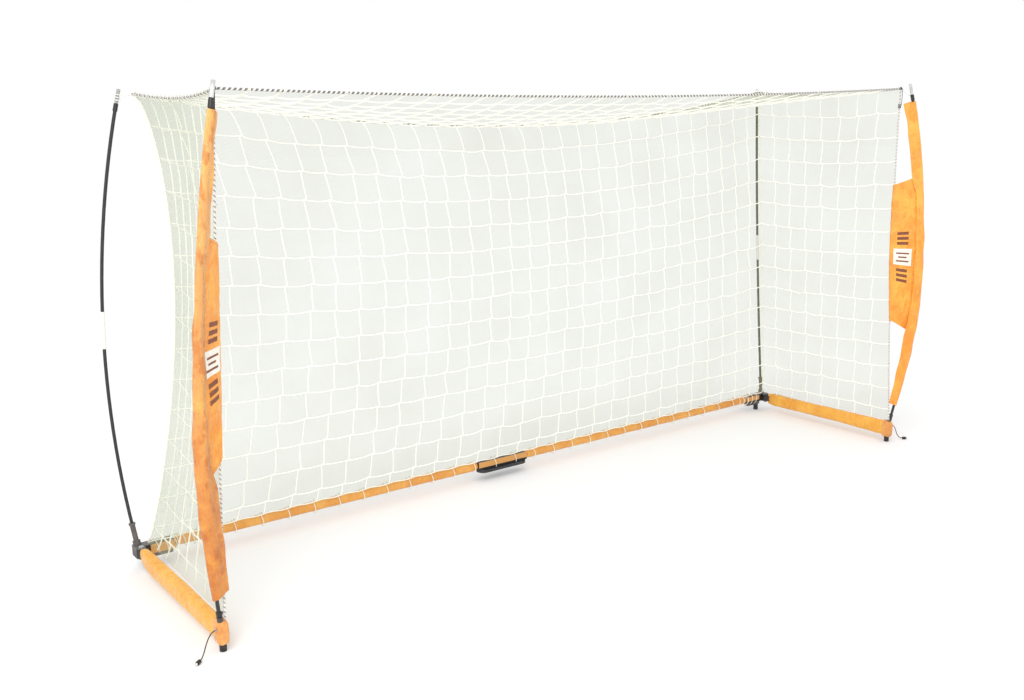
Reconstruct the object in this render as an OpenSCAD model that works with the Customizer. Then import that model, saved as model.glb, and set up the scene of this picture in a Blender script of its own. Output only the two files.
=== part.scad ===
// Portable bow-pole goal: a padded folding steel base, four bowed poles and a net.
// Millimetres. X to the right, Y to the back, Z up, the floor at Z = 0.
// Left parts are drawn first, and right parts are their mirror images. Only the rear bar
// differs, because the joint between its halves is off the middle.

/* [Base] */
// Width between the side arms' centre lines
base_w = 3660; // [3500:10:3800]
// Depth from the front feet to the rear bar's centre line
base_d = 856; // [820:4:900]
// Height of the tubes' centre line above the floor
bar_h = 72; // [70:1:75]
// Outside diameter of the rear bar tube
bar_dia = 30; // [29:0.5:30]
// Outside width of the square arm tube
arm_w = 30; // [29:0.5:30]
// Distance from the rear bar's centre line to each arm's hinge pin
pivot_back = 34; // [34:1:40]

/* [Poles] */
// Height of the pole tips above the floor
tip_h = 1836; // [1780:4:1880]
// Diameter of the poles
pole_dia = 13; // [12:0.5:13]
// How far a pole bows away from the straight line between its ends
pole_bow = 107; // [95:1:120]
// How far each front pole's tip leans in from its foot
front_tip_in = 84; // [75:1:95]
// How far each front pole's tip leans forward from its foot
front_tip_out = 66; // [55:1:75]
// How far each rear pole's tip leans in from its foot
rear_tip_in = 94; // [85:1:105]
// How far each rear pole's tip leans back from its foot
rear_tip_out = 25; // [15:1:35]

/* [Covers] */
// Width of the padded sleeve on each arm
sleeve_w = 46; // [44:1:50]
// Height of the padded sleeve on each arm
sleeve_h = 86; // [80:1:88]
// Outside diameter of the rear bar's sleeve
bar_sleeve_dia = 44; // [42:0.5:46]
// Length of the rear bar's bare stretch, where its halves join
centre_gap = 290; // [280:2:310]
// Place of that joint across the width, from the middle
centre_x = -70; // [-90:5:90]

/* [Net] */
// Thickness of the net panels
net_thick = 2; // [1.5:0.5:3]
// How far the net's rear upright edges pull in from the corners, each way
edge_pull = 100; // [90:2:110]
// How far the middle of the front top rope sags
front_sag = 29; // [20:1:40]
// How far the middle of the rear top rope sags
rear_sag = 148; // [130:2:165]
// Diameter of the braided front ropes
rope_dia = 8; // [7:0.5:8]

/* [Hidden] */
$fn = 48;

// Directions, and the two base lines. The shift puts the origin at the footprint's middle.
left = -1;
right = 1;
y_shift = 10;
front_y = y_shift - base_d / 2;
rear_y = y_shift + base_d / 2;
arm_x = base_w / 2;
pivot_y = rear_y - pivot_back;
ease = 0.05;
wall = 2;
gap = 0.5;
bar_start = 14;
arm_start = 14;

// Corner brackets: two plates with a side web and a rear web
plate = 4;
ear_gap = 34.6;
ear_r = 17;
bracket_back = 20;
bracket_in = 130;
web_out = 20;
collar_dia = 38;
collar_w = 24;
shelf_in = 30;
shelf_w = 28;
shelf_low = 35;
pin_dia = 10;
knuckle_h = 34;
knuckle_stub = 45;
knuckle_nose = 18;
nut_w = 17;
nut_h = 7;
head_w = 19;
head_h = 6;

// Rear bar: coupler, oval pad under it, strips and snap buttons
coupler_w = 38;
coupler_h = 34;
pad_len = 280;
pad_w = 70;
pad_h = 14;
strip_h = 20;
strip_up = 11;
corner_strip_h = 20;
strip_t = 2;
strip_end = 40;
button_dia = 8;
button_head = 4;
button_seat = [8.5, 10.2];
button_x = 60;
button_out = 3.5;

// Feet, sockets and lacing
foot_in = 45;
rear_foot_dia = 26;
front_foot_dia = 27;
bar_sleeve_end = 140;
socket_dia = 20;
lace_dia = 3;
lace_step = 127;
lace_count = 12;
lace_first = 60;

// Front poles: distances along the pole from its foot, or back from its tip
front_pole_start = 19;
rear_pole_start = 26;
front_socket_span = [14, 58];
rear_socket_span = [21, 112];
rear_lip_span = [104, 112];
rear_base_span = [21, 40];
lip_out = 6;
base_out = 10;
clamp_out = 4;
clamp_span = [62, 80];
sleeve_start = 115;
sleeve_top = 108;
tip_len = 52;
tip_dia = 14;
collar_out = 3;
collar_len = 28;
collar_gap = 2;
ferrule_len = 143;
ferrule_mid = 879;
ferrule_dia = 17;
cover_dia = 36;
cover_bore = 19;
flap_low = 540;
flap_high = 1310;
flap_t = 4;
edge_w = 22;
edge_gap = 2.8;
edge_hem = 12;
low_turn = -22;
high_turn = 23;
flap_dir = [0.45, -0.89, 0];

// Padded sleeve on each arm
sleeve_front = 32;
sleeve_back = 2;
sleeve_slack = 1;
nose_len = 14;
nose_w = 10;
nose_h = 8;
sleeve_round = 20;
nose_round = 17;

// Net: its corners, measured from the poles' tips and feet, and its pulls and sags
front_corner_from_tip = [15, 41, -22];
rear_corner_from_tip = [37, -35, -17];
front_corner_from_foot = [9, -13, 46];
rear_corner_from_foot = [28, -34, 36];
front_pull = [0, 18, 0];
roof_pull = 70;
side_pull = 26;
side_sag = 22;
net_cols = 12;
net_rows = 12;
net_deep = 6;
panel_gap = 9;
thin_rope = 6;
strap_dia = 6;
strap_top = [-2, -3, 6];
strap_end = [14, 1, 2];
strap_bend = 0.45;
bungee_dia = 5;
bungee_gap = 3;
bungee_low = 30;

// The bow of each pole: how far it goes outwards and to the front or back, as a direction
front_bow_dir = [-0.80, -0.60];
rear_bow_dir = [-0.70, 0.72];

// Drawcord of the left arm's sleeve: hand-chosen route to the cord lock on the floor
cord_dia = 4;
cord_route = [
    [-1853, front_y - 10, 84], [-1862, front_y - 11, 83], [-1873, front_y - 12, 76],
    [-1883, front_y - 13, 62], [-1891, front_y - 14, 46], [-1898, front_y - 16, 30],
    [-1905, front_y - 20, 18], [-1913, front_y - 26, 10], [-1922, front_y - 33, 7]
];
eyelet_dia = 12;
eyelet_bore = 5;
eyelet_t = 2;
lock_dia = 14;
lock_len = 18;
lock_bore = 6;
lock_start = 1.2;
lock_floor = 8;
plunger_dia = 5.9;
plunger_out = 7;
plunger_in = 12;
cap_t = 3;
cap_out = 4;

// ---------- Curves ----------

function unit(v) = v / norm(v);
function mix(a, b, t) = a * (1 - t) + b * t;

// Rounded share of the full pull at t from 0 (one end) to 1 (the other end).
function belly(t) = 4 * t * (1 - t);
function scallop(t) = pow(max(sin(180 * pow(t, 0.8)), 0), 0.75);

// A left pole is an arc: [foot, tip, bow direction].
front_foot_pt = [-arm_x, front_y, bar_h];
front_tip_pt = [-arm_x + front_tip_in, front_y - front_tip_out, tip_h];
rear_foot_pt = [-arm_x, rear_y, bar_h];
rear_tip_pt = [-arm_x + rear_tip_in, rear_y + rear_tip_out, tip_h];
front_line = [front_foot_pt, front_tip_pt, front_bow_dir];
rear_line = [rear_foot_pt, rear_tip_pt, rear_bow_dir];

// The left corners of the net
front_corner = front_tip_pt + front_corner_from_tip;
rear_corner = rear_tip_pt + rear_corner_from_tip;
front_foot_corner = front_foot_pt + front_corner_from_foot;
rear_foot_corner = rear_foot_pt + rear_corner_from_foot;

function chord(l) = norm(l[1] - l[0]);
function along(l) = unit(l[1] - l[0]);
function flat_dir(l) = [l[2][0], l[2][1], 0];
function bow_dir(l) = unit(flat_dir(l) - along(l) * (flat_dir(l) * along(l)));
function radius(l) = pow(chord(l), 2) / (8 * pole_bow) + pole_bow / 2;
function half_angle(l) = asin(chord(l) / 2 / radius(l));
function arc_len(l) = radius(l) * 2 * half_angle(l) * PI / 180;
function arc_centre(l) = (l[0] + l[1]) / 2 - bow_dir(l) * (radius(l) - pole_bow);
function arc_angle(l, s) = s / radius(l) * 180 / PI - half_angle(l);
function arc_point(l, s) =
    arc_centre(l)
    + bow_dir(l) * radius(l) * cos(arc_angle(l, s))
    + along(l) * radius(l) * sin(arc_angle(l, s));

// Net edges, each from t = 0 to t = 1
function front_edge(t) = // up the front rope
    mix(front_foot_corner, front_corner, t) + front_pull * belly(t);
function rear_edge(t) = // up the rear corner
    mix(rear_foot_corner, rear_corner, t) + [edge_pull, -edge_pull, 0] * scallop(1 - t);
function side_top_edge(t) = // from the front corner to the rear corner
    mix(front_corner, rear_corner, t) + [side_pull, 0, -side_sag] * belly(t);
function side_low_edge(t) = mix(front_foot_corner, rear_foot_corner, t);
function mirrored(p) = [-p[0], p[1], p[2]];
function front_top_edge(t) = // from left to right
    mix(front_corner, mirrored(front_corner), t) + [0, roof_pull, -front_sag] * belly(t);
function rear_top_edge(t) =
    mix(rear_corner, mirrored(rear_corner), t) + [0, -roof_pull, -rear_sag] * belly(t);
function rear_low_edge(t) = mix(rear_foot_corner, mirrored(rear_foot_corner), t);

// A point of the surface that fills four edges: u across, v up.
function rear_pt(u, v) =
    mix(rear_edge(v), mirrored(rear_edge(v)), u)
    + mix(rear_low_edge(u), rear_top_edge(u), v)
    - mix(mix(rear_foot_corner, mirrored(rear_foot_corner), u),
          mix(rear_corner, mirrored(rear_corner), u), v);
function side_pt(u, v) =
    mix(front_edge(v), rear_edge(v), u)
    + mix(side_low_edge(u), side_top_edge(u), v)
    - mix(mix(front_foot_corner, rear_foot_corner, u),
          mix(front_corner, rear_corner, u), v);
function roof_pt(u, v) =
    mix(side_top_edge(v), mirrored(side_top_edge(v)), u)
    + mix(front_top_edge(u), rear_top_edge(u), v)
    - mix(mix(front_corner, mirrored(front_corner), u),
          mix(rear_corner, mirrored(rear_corner), u), v);

// ---------- Shared shapes ----------

// Draws a left part as it is, or mirrored to the right.
module on_side(side) {
    mirror([side == right ? 1 : 0, 0, 0]) children();
}

// Moves the arc's own plane, X along the bow and Y along the chord, to the pole's place.
module in_arc_plane(l) {
    b = bow_dir(l);
    c = along(l);
    n = cross(b, c);
    o = arc_centre(l);
    multmatrix([
        [b[0], c[0], n[0], o[0]],
        [b[1], c[1], n[1], o[1]],
        [b[2], c[2], n[2], o[2]],
        [0, 0, 0, 1]
    ]) children();
}

// A rod, or a ring with a bore, along a stretch of a pole's arc.
module arc_rod(l, span, dia, bore = 0) {
    in_arc_plane(l)
        rotate([0, 0, arc_angle(l, span[0])])
        rotate_extrude(angle = arc_angle(l, span[1]) - arc_angle(l, span[0]), $fn = 720)
        translate([radius(l), 0])
        difference() {
            circle(d = dia, $fn = 48);
            if (bore > 0)
                circle(d = bore, $fn = 48);
        }
}

// A round tube through a list of points. side_dir is any direction off the route.
module cord(points, dia, side_dir, sides = 8) {
    n = len(points);
    function tangent(i) = unit(points[min(i + 1, n - 1)] - points[max(i - 1, 0)]);
    rings = [
        for (i = [0 : n - 1])
            let (t = tangent(i), a = unit(cross(side_dir, t)), b = cross(t, a))
            for (k = [0 : sides - 1])
                let (w = 360 * k / sides)
                points[i] + (a * cos(w) + b * sin(w)) * dia / 2
    ];
    walls = [
        for (i = [0 : n - 2], k = [0 : sides - 1])
            let (m = (k + 1) % sides)
            [i * sides + k, i * sides + m, (i + 1) * sides + m, (i + 1) * sides + k]
    ];
    first = [[for (k = [sides - 1 : -1 : 0]) k]];
    last = [[for (k = [0 : sides - 1]) (n - 1) * sides + k]];
    polyhedron(rings, [for (f = concat(walls, first, last)) [for (j = [len(f) - 1 : -1 : 0]) f[j]]]);
}

// A thin closed sheet over a grid of points, with its thickness along one direction.
module sheet(grid, thick, dir) {
    cols = len(grid[0]);
    rows = len(grid);
    count = cols * rows;
    face_a = [for (row = grid, p = row) p - dir * thick / 2];
    face_b = [for (row = grid, p = row) p + dir * thick / 2];
    cells = [for (j = [0 : rows - 2], i = [0 : cols - 2]) j * cols + i];
    low = concat(
        [for (c = cells) [c, c + 1, c + cols + 1]],
        [for (c = cells) [c, c + cols + 1, c + cols]]
    );
    high = [for (f = low) [f[2] + count, f[1] + count, f[0] + count]];
    rim = concat(
        [for (i = [0 : cols - 1]) i],
        [for (j = [1 : rows - 1]) j * cols + cols - 1],
        [for (i = [cols - 2 : -1 : 0]) (rows - 1) * cols + i],
        [for (j = [rows - 2 : -1 : 1]) j * cols]
    );
    edge = [
        for (k = [0 : len(rim) - 1])
            let (a = rim[k], b = rim[(k + 1) % len(rim)])
            for (f = [[b, a, a + count], [b, a + count, b + count]]) f
    ];
    polyhedron(concat(face_a, face_b), concat(low, high, edge));
}

// Shares across a panel of a given size, stopping short of the ropes at both edges.
function steps(count, size) =
    let (hem = panel_gap / size)
    [for (i = [0 : count]) mix(hem, 1 - hem, i / count)];

// A bar with rounded long edges, running along Y.
module rounded_bar(w, h, y0, y1, r) {
    translate([0, y1, 0])
        rotate([90, 0, 0])
        linear_extrude(y1 - y0)
        union() {
            square([w - 2 * r, h], center = true);
            square([w, h - 2 * r], center = true);
            for (x = [-1, 1], y = [-1, 1])
                translate([x * (w / 2 - r), y * (h / 2 - r)]) circle(r);
        }
}

// A cylinder along X or Y between two places on that axis.
module along_x(x0, x1, dia) {
    translate([x0, 0, 0]) rotate([0, 90, 0]) cylinder(h = x1 - x0, d = dia);
}

module along_y(y0, y1, dia) {
    translate([0, y0, 0]) rotate([-90, 0, 0]) cylinder(h = y1 - y0, d = dia);
}

// ---------- Base frame ----------

// Where a half of the rear bar ends, as drawn for that side.
function inner_x(side) = -side * centre_x;

module rear_tube(side) {
    color("dimgray")
        on_side(side)
        translate([0, rear_y, bar_h])
        difference() {
            along_x(-arm_x + bar_start, inner_x(side) - 1, bar_dia);
            along_x(-arm_x, arm_x, bar_dia - 2 * wall);
            translate([inner_x(side) - button_x, 0, 0]) along_y(0, bar_dia, button_dia + 2 * ease);
        }
}

module centre_coupler() {
    color("#2b2b2b")
        translate([centre_x, rear_y, bar_h])
        difference() {
            cube([centre_gap - 2, coupler_w, coupler_h], center = true);
            along_x(-centre_gap, centre_gap, bar_dia + 4 * ease);
            for (x = [-button_x, button_x])
                translate([x, 0, 0]) along_y(0, coupler_w, button_dia + 2 * ease);
        }
}

module centre_pad() {
    color("#26262a")
        translate([centre_x, rear_y, bar_h - coupler_h / 2 - pad_h])
        linear_extrude(pad_h) {
            square([pad_len - pad_w, pad_w], center = true);
            for (x = [-1, 1])
                translate([x * (pad_len - pad_w) / 2, 0]) circle(d = pad_w);
        }
}

module bar_button(side) {
    color("silver")
        on_side(side)
        translate([inner_x(side) - button_x, rear_y, bar_h]) {
            along_y(button_seat[0], coupler_w / 2 + button_out, button_dia);
            along_y(button_seat[0], button_seat[1], button_dia + button_head);
        }
}

module bracket_outline() {
    translate([-arm_x - web_out, rear_y - bracket_back])
        square([web_out + bracket_in, 2 * bracket_back]);
    translate([-arm_x - web_out, pivot_y])
        square([web_out + ear_r, pivot_back]);
    translate([-arm_x, pivot_y]) circle(ear_r);
}

module bracket(side) {
    outer = ear_gap + 2 * plate;
    color("#4a4a4e")
        on_side(side)
        difference() {
            union() {
                for (z = [-outer / 2, ear_gap / 2])
                    translate([0, 0, bar_h + z]) linear_extrude(plate) bracket_outline();
                translate([-arm_x - web_out, pivot_y, bar_h - outer / 2])
                    cube([plate, pivot_back + bracket_back, outer]);
                translate([-arm_x - web_out, rear_y + bracket_back - plate, bar_h - outer / 2])
                    cube([web_out + bracket_in, plate, outer]);
                translate([0, rear_y, bar_h])
                    along_x(-arm_x + bracket_in - collar_w, -arm_x + bracket_in, collar_dia);
                translate([-arm_x + shelf_in, rear_y - shelf_w / 2, shelf_low])
                    cube([bracket_in - shelf_in, shelf_w, bar_h - outer / 2 - shelf_low + plate / 2]);
            }
            translate([0, rear_y, bar_h])
                along_x(-arm_x + shelf_in, -arm_x + bracket_in + 1, bar_dia + 4 * ease);
            translate([-arm_x, pivot_y, 0]) cylinder(h = 2 * bar_h, d = pin_dia + 2 * ease);
        }
}

module hinge_bolts() {
    outer = ear_gap + 2 * plate;
    color("silver")
        for (side = [left, right])
            on_side(side)
            translate([-arm_x, pivot_y, bar_h]) {
                translate([0, 0, -outer / 2 - nut_h]) cylinder(h = outer + nut_h, d = pin_dia);
                translate([0, 0, -outer / 2 - nut_h]) cylinder(h = nut_h, d = nut_w, $fn = 6);
                translate([0, 0, outer / 2]) cylinder(h = head_h, d = head_w);
            }
}

module rear_feet() {
    color("#1c1c1c")
        for (side = [left, right])
            on_side(side)
            translate([-arm_x + foot_in, rear_y, 0])
            cylinder(h = shelf_low, d = rear_foot_dia);
}

module rear_sleeve(side) {
    color("#f4a04a")
        on_side(side)
        translate([0, rear_y, bar_h])
        difference() {
            along_x(-arm_x + bar_sleeve_end, inner_x(side) - centre_gap / 2 - 1, bar_sleeve_dia);
            along_x(-arm_x, arm_x, bar_dia + 1);
        }
}

// Flat orange webbing over the bare hardware: one at the centre, one at each rear corner.
module base_strips() {
    color("#f0a860") {
        translate([centre_x - centre_gap / 2, rear_y - coupler_w / 2 - strip_t - gap, bar_h + strip_up])
            translate([0, 0, -strip_h / 2]) cube([centre_gap, strip_t, strip_h]);
        for (side = [left, right])
            on_side(side)
            translate([-arm_x + strip_end, rear_y - bar_sleeve_dia / 2, bar_h - corner_strip_h / 2])
            cube([bar_sleeve_end - strip_end - 1, strip_t, corner_strip_h]);
    }
}

module rear_lacing() {
    color("#f6f4ea")
        for (side = [left, right])
            on_side(side)
            for (i = [0 : lace_count - 1])
                translate([-arm_x + bar_sleeve_end + lace_first + i * lace_step, rear_y, bar_h])
                rotate([0, 90, 0])
                rotate_extrude($fn = 48)
                translate([bar_sleeve_dia / 2 + lace_dia / 2 + gap, 0])
                circle(d = lace_dia, $fn = 16);
}

// ---------- Rear poles ----------

module rear_sockets() {
    color("#55504c")
        for (side = [left, right])
            on_side(side)
            difference() {
                union() {
                    arc_rod(rear_line, rear_socket_span, socket_dia);
                    arc_rod(rear_line, rear_lip_span, socket_dia + lip_out);
                    arc_rod(rear_line, rear_base_span, socket_dia + base_out);
                }
                arc_rod(rear_line, [0, rear_socket_span[1] + 10], pole_dia + 4 * ease);
            }
}

module pole(l, start) {
    arc_rod(l, [start, ferrule_mid - 1], pole_dia);
    arc_rod(l, [ferrule_mid + 1, arc_len(l) - tip_len - 1], pole_dia);
}

module rear_pole(side) {
    color("#3a3a3c") on_side(side) pole(rear_line, rear_pole_start);
}

module ferrule(l) {
    span = [ferrule_mid - ferrule_len / 2, ferrule_mid + ferrule_len / 2];
    arc_rod(l, span, ferrule_dia, pole_dia + 4 * ease);
}

module tip(l) {
    top = arc_len(l);
    arc_rod(l, [top - tip_len, top], tip_dia);
    arc_rod(l, [top - tip_len - collar_gap - collar_len, top - tip_len - collar_gap],
            tip_dia + collar_out, pole_dia + 4 * ease);
}

module rear_ferrules() {
    color("#efefec") for (side = [left, right]) on_side(side) ferrule(rear_line);
}

module rear_tips() {
    color("silver") for (side = [left, right]) on_side(side) tip(rear_line);
}

// ---------- Side arms ----------

module arm_tube(side) {
    y0 = front_y - arm_start;
    y1 = pivot_y - knuckle_nose;
    color("dimgray")
        on_side(side)
        translate([-arm_x, y0, bar_h])
        difference() {
            translate([-arm_w / 2, 0, -arm_w / 2]) cube([arm_w, y1 - y0, arm_w]);
            translate([-arm_w / 2 + wall, -1, -arm_w / 2 + wall])
                cube([arm_w - 2 * wall, y1 - y0 + 2, arm_w - 2 * wall]);
        }
}

module knuckle(side) {
    stub_w = arm_w - 2 * wall - 2 * ease;
    color("#5a5a5e")
        on_side(side)
        translate([-arm_x, pivot_y, bar_h])
        difference() {
            union() {
                cylinder(h = knuckle_h, d = arm_w, center = true);
                translate([-arm_w / 2, -knuckle_nose + 0.2, -knuckle_h / 2])
                    cube([arm_w, knuckle_nose - 0.2, knuckle_h]);
                translate([-stub_w / 2, -knuckle_nose - knuckle_stub, -stub_w / 2])
                    cube([stub_w, knuckle_stub + 2, stub_w]);
            }
            cylinder(h = 2 * knuckle_h, d = pin_dia + 2 * ease, center = true);
        }
}

module arm_sleeve(side) {
    y0 = front_y - sleeve_front;
    y1 = pivot_y - ear_r - sleeve_back;
    hollow_w = arm_w + 2 * sleeve_slack;
    color("#f9a94c")
        on_side(side)
        difference() {
            union() {
                translate([-arm_x, 0, bar_h])
                    rounded_bar(sleeve_w, sleeve_h, y0 + nose_len, y1 - nose_len, sleeve_round);
                translate([-arm_x, 0, bar_h])
                    rounded_bar(sleeve_w - nose_w, sleeve_h - nose_h, y0, y1, nose_round);
            }
            translate([-arm_x, front_y - arm_start - sleeve_slack, bar_h])
                translate([-hollow_w / 2, 0, -hollow_w / 2]) cube([hollow_w, base_d, hollow_w]);
            translate([-arm_x, front_y, 0]) cylinder(h = bar_h, d = front_foot_dia + sleeve_slack);
            arc_rod(front_line, [front_socket_span[0], sleeve_start], socket_dia + 2 * sleeve_slack);
        }
}

module front_foot(side) {
    color("#1c1c1c")
        on_side(side)
        translate([-arm_x, front_y, 0])
        cylinder(h = bar_h - arm_w / 2, d1 = front_foot_dia - 3, d2 = front_foot_dia);
}

module front_socket(side) {
    color("#4a4a4e")
        on_side(side)
        difference() {
            arc_rod(front_line, front_socket_span, socket_dia, pole_dia + 4 * ease);
            translate([-arm_x - 50, front_y - 50, 0]) cube([100, 100, bar_h + arm_w / 2]);
        }
}

module pole_clamp(side) {
    color("#2a2a2c")
        on_side(side)
        arc_rod(front_line, clamp_span, socket_dia + clamp_out, pole_dia + 4 * ease);
}

module front_pole(side) {
    color("#3a3a3c") on_side(side) pole(front_line, front_pole_start);
}

module pole_fittings(side) {
    color("silver")
        on_side(side) {
            tip(front_line);
            ferrule(front_line);
        }
}

module pole_sleeve(side) {
    color("#ee8f45")
        on_side(side)
        arc_rod(front_line, [sleeve_start, arc_len(front_line) - sleeve_top], cover_dia, cover_bore);
}

// The flap hangs from the pole's sleeve and reaches the front side rope.
function flap_share(s) = (arc_point(front_line, s)[2] - front_foot_corner[2])
    / (front_corner[2] - front_foot_corner[2]);
function flap_pt(s, u) =
    let (a = arc_point(front_line, s), b = front_edge(flap_share(s)), d = unit(b - a))
    mix(a + d * (cover_dia / 2 + gap), b - d * (rope_dia / 2 + gap), u);

// Where the sleeve's own flat edge runs, above and below the flap.
function edge_pt(s, turn, u) =
    arc_point(front_line, s)
    + [cos(turn), sin(turn), 0] * (cover_dia / 2 + edge_gap + edge_w * u);
function flat_edge(s0, s1, turn0, turn1) = [
    for (t = [0 : 0.125 : 1])
        [for (u = [0 : 0.5 : 1]) edge_pt(mix(s0, s1, t), mix(turn0, turn1, t), u)]
];

module pole_flap(side) {
    grid = [
        for (s = [flap_low : (flap_high - flap_low) / 10 : flap_high + 1])
            [for (u = [0 : 0.25 : 1]) flap_pt(s, u)]
    ];
    low = sleeve_start + edge_hem;
    high = arc_len(front_line) - sleeve_top - edge_hem;
    color("#f6a050")
        on_side(side) {
            sheet(grid, flap_t, unit(flap_dir));
            sheet(flat_edge(low, flap_low - 1, low_turn, high_turn), flap_t, unit(flap_dir));
            sheet(flat_edge(flap_high + 1, high, high_turn, high_turn), flap_t, unit(flap_dir));
        }
}

// ---------- Ropes and net ----------

function rope_points(count, t0, t1) = [for (i = [0 : count]) mix(t0, t1, i / count)];

module side_rope(side) {
    color("#77756c")
        on_side(side)
        cord([for (t = rope_points(24, 0, 0.985)) front_edge(t)], rope_dia, [0, 1, 0]);
}

module strap(side) {
    low = arc_point(front_line, arc_len(front_line) - sleeve_top);
    bend = mix(front_corner, low, strap_bend);
    color("#222222")
        on_side(side)
        cord([front_corner + strap_top, bend, low + strap_end], strap_dia, [0, 1, 0]);
}

module front_top_rope() {
    color("#77756c")
        cord([for (t = rope_points(48, 0.004, 0.996)) front_top_edge(t)], rope_dia, [0, 0, 1]);
}

module rear_top_rope() {
    color("#8a887e")
        cord([for (t = rope_points(48, 0.002, 0.998)) rear_top_edge(t)], thin_rope, [0, 0, 1]);
}

module side_top_ropes() {
    color("#8a887e")
        for (side = [left, right])
            on_side(side)
            cord([for (t = rope_points(14, 0.02, 0.99)) side_top_edge(t)], thin_rope, [0, 0, 1]);
}

module rear_bungees() {
    top = arc_point(rear_line, arc_len(rear_line) - bungee_low);
    dir = unit(rear_corner - top);
    start = top + dir * (tip_dia / 2 + bungee_gap);
    end = rear_corner - dir * (thin_rope / 2 + bungee_gap);
    color("#f2f0e8")
        for (side = [left, right])
            on_side(side)
            cord([start, end], bungee_dia, [0, 1, 0]);
}

module side_net(side) {
    grid = [for (v = steps(net_rows, tip_h)) [for (u = steps(net_deep, base_d)) side_pt(u, v)]];
    color("#e9eee6") on_side(side) sheet(grid, net_thick, [-1, 0, 0]);
}

module rear_net() {
    grid = [for (v = steps(net_rows, tip_h)) [for (u = steps(net_cols, base_w)) rear_pt(u, v)]];
    color("#eef1ea") sheet(grid, net_thick, [0, -1, 0]);
}

module roof_net() {
    grid = [for (v = steps(net_deep, base_d)) [for (u = steps(net_cols, base_w)) roof_pt(u, v)]];
    color("#eef1ea") sheet(grid, net_thick, [0, 0, -1]);
}

// ---------- Drawcords ----------

lock_at = cord_route[len(cord_route) - 1];
lock_dir = unit([-0.78, -0.62, 0]);

// X axis along the cord lock's length, on the floor
module at_lock() {
    translate([lock_at[0], lock_at[1], lock_dia / 2])
        rotate([0, 0, atan2(lock_dir[1], lock_dir[0])])
        children();
}

module cord_eyelet(side) {
    at = cord_route[0];
    color("#b8b4a8")
        on_side(side)
        translate([at[0] - ease, at[1], at[2]])
        difference() {
            along_x(-eyelet_t, 0, eyelet_dia);
            along_x(-eyelet_t - 1, 1, eyelet_bore);
        }
}

module drawcord(side) {
    color("#1d1d1f") on_side(side) cord(cord_route, cord_dia, [0, 0, 1]);
}

module cord_lock(side) {
    color("#161616")
        on_side(side)
        at_lock()
        difference() {
            along_x(lock_start, lock_len, lock_dia);
            along_x(lock_floor, lock_len + 1, lock_bore);
        }
}

module lock_plunger(side) {
    color("#303030")
        on_side(side)
        at_lock() {
            along_x(plunger_in, lock_len + plunger_out, plunger_dia);
            along_x(lock_len + plunger_out - cap_t, lock_len + plunger_out, plunger_dia + cap_out);
        }
}

rear_tube(left);  // rear_tube_left
rear_tube(right);  // rear_tube_right
centre_coupler();
centre_pad();
bracket(left);  // left_bracket
bracket(right);  // right_bracket
hinge_bolts();
rear_feet();
rear_sleeve(left);  // rear_sleeve_left
rear_sleeve(right);  // rear_sleeve_right
base_strips();
rear_lacing();
rear_sockets();
rear_pole(left);  // rear_pole_left
rear_pole(right);  // rear_pole_right
rear_ferrules();
rear_tips();
bar_button(left);  // left_bar_button
bar_button(right);  // right_bar_button
arm_tube(left);  // left_arm_tube
arm_tube(right);  // right_arm_tube
knuckle(left);  // left_knuckle
knuckle(right);  // right_knuckle
arm_sleeve(left);  // left_arm_sleeve
arm_sleeve(right);  // right_arm_sleeve
front_foot(left);  // left_front_foot
front_foot(right);  // right_front_foot
front_socket(left);  // left_front_socket
front_socket(right);  // right_front_socket
pole_clamp(left);  // left_pole_clamp
pole_clamp(right);  // right_pole_clamp
front_pole(left);  // left_front_pole
front_pole(right);  // right_front_pole
pole_fittings(left);  // left_pole_fittings
pole_fittings(right);  // right_pole_fittings
pole_sleeve(left);  // left_pole_sleeve
pole_sleeve(right);  // right_pole_sleeve
pole_flap(left);  // left_pole_flap
pole_flap(right);  // right_pole_flap
strap(left);  // left_strap
strap(right);  // right_strap
side_rope(left);  // left_side_rope
side_rope(right);  // right_side_rope
side_net(left);  // left_side_net
side_net(right);  // right_side_net
rear_net();
roof_net();
front_top_rope();
rear_top_rope();
side_top_ropes();
rear_bungees();
cord_eyelet(left);  // left_cord_eyelet
cord_eyelet(right);  // right_cord_eyelet
drawcord(left);  // left_drawcord
drawcord(right);  // right_drawcord
cord_lock(left);  // left_cord_lock
cord_lock(right);  // right_cord_lock
lock_plunger(left);  // left_lock_plunger
lock_plunger(right);  // right_lock_plunger
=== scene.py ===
import math

import bpy
import numpy as np
from mathutils import Matrix, Vector, noise


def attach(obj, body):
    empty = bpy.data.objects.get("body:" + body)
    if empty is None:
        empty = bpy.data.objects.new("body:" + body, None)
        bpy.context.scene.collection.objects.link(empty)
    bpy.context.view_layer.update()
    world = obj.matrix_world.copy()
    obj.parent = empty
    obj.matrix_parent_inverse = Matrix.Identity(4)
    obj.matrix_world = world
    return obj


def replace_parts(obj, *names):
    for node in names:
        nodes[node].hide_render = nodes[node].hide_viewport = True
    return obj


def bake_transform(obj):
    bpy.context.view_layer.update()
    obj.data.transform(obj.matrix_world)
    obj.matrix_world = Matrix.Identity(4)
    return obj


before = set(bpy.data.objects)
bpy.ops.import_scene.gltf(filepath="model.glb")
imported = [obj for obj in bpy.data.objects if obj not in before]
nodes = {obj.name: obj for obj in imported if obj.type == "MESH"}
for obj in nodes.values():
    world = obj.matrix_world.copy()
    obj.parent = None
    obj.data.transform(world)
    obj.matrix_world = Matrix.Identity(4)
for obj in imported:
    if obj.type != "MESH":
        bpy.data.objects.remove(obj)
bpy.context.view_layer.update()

# Metres, in the frame of the CAD model. Left parts are made first; right ones are mirror images.
rng = np.random.default_rng(7)
SIDES = (("left", 1.0), ("right", -1.0))

# ---------- Places shared with the CAD source ----------

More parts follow.
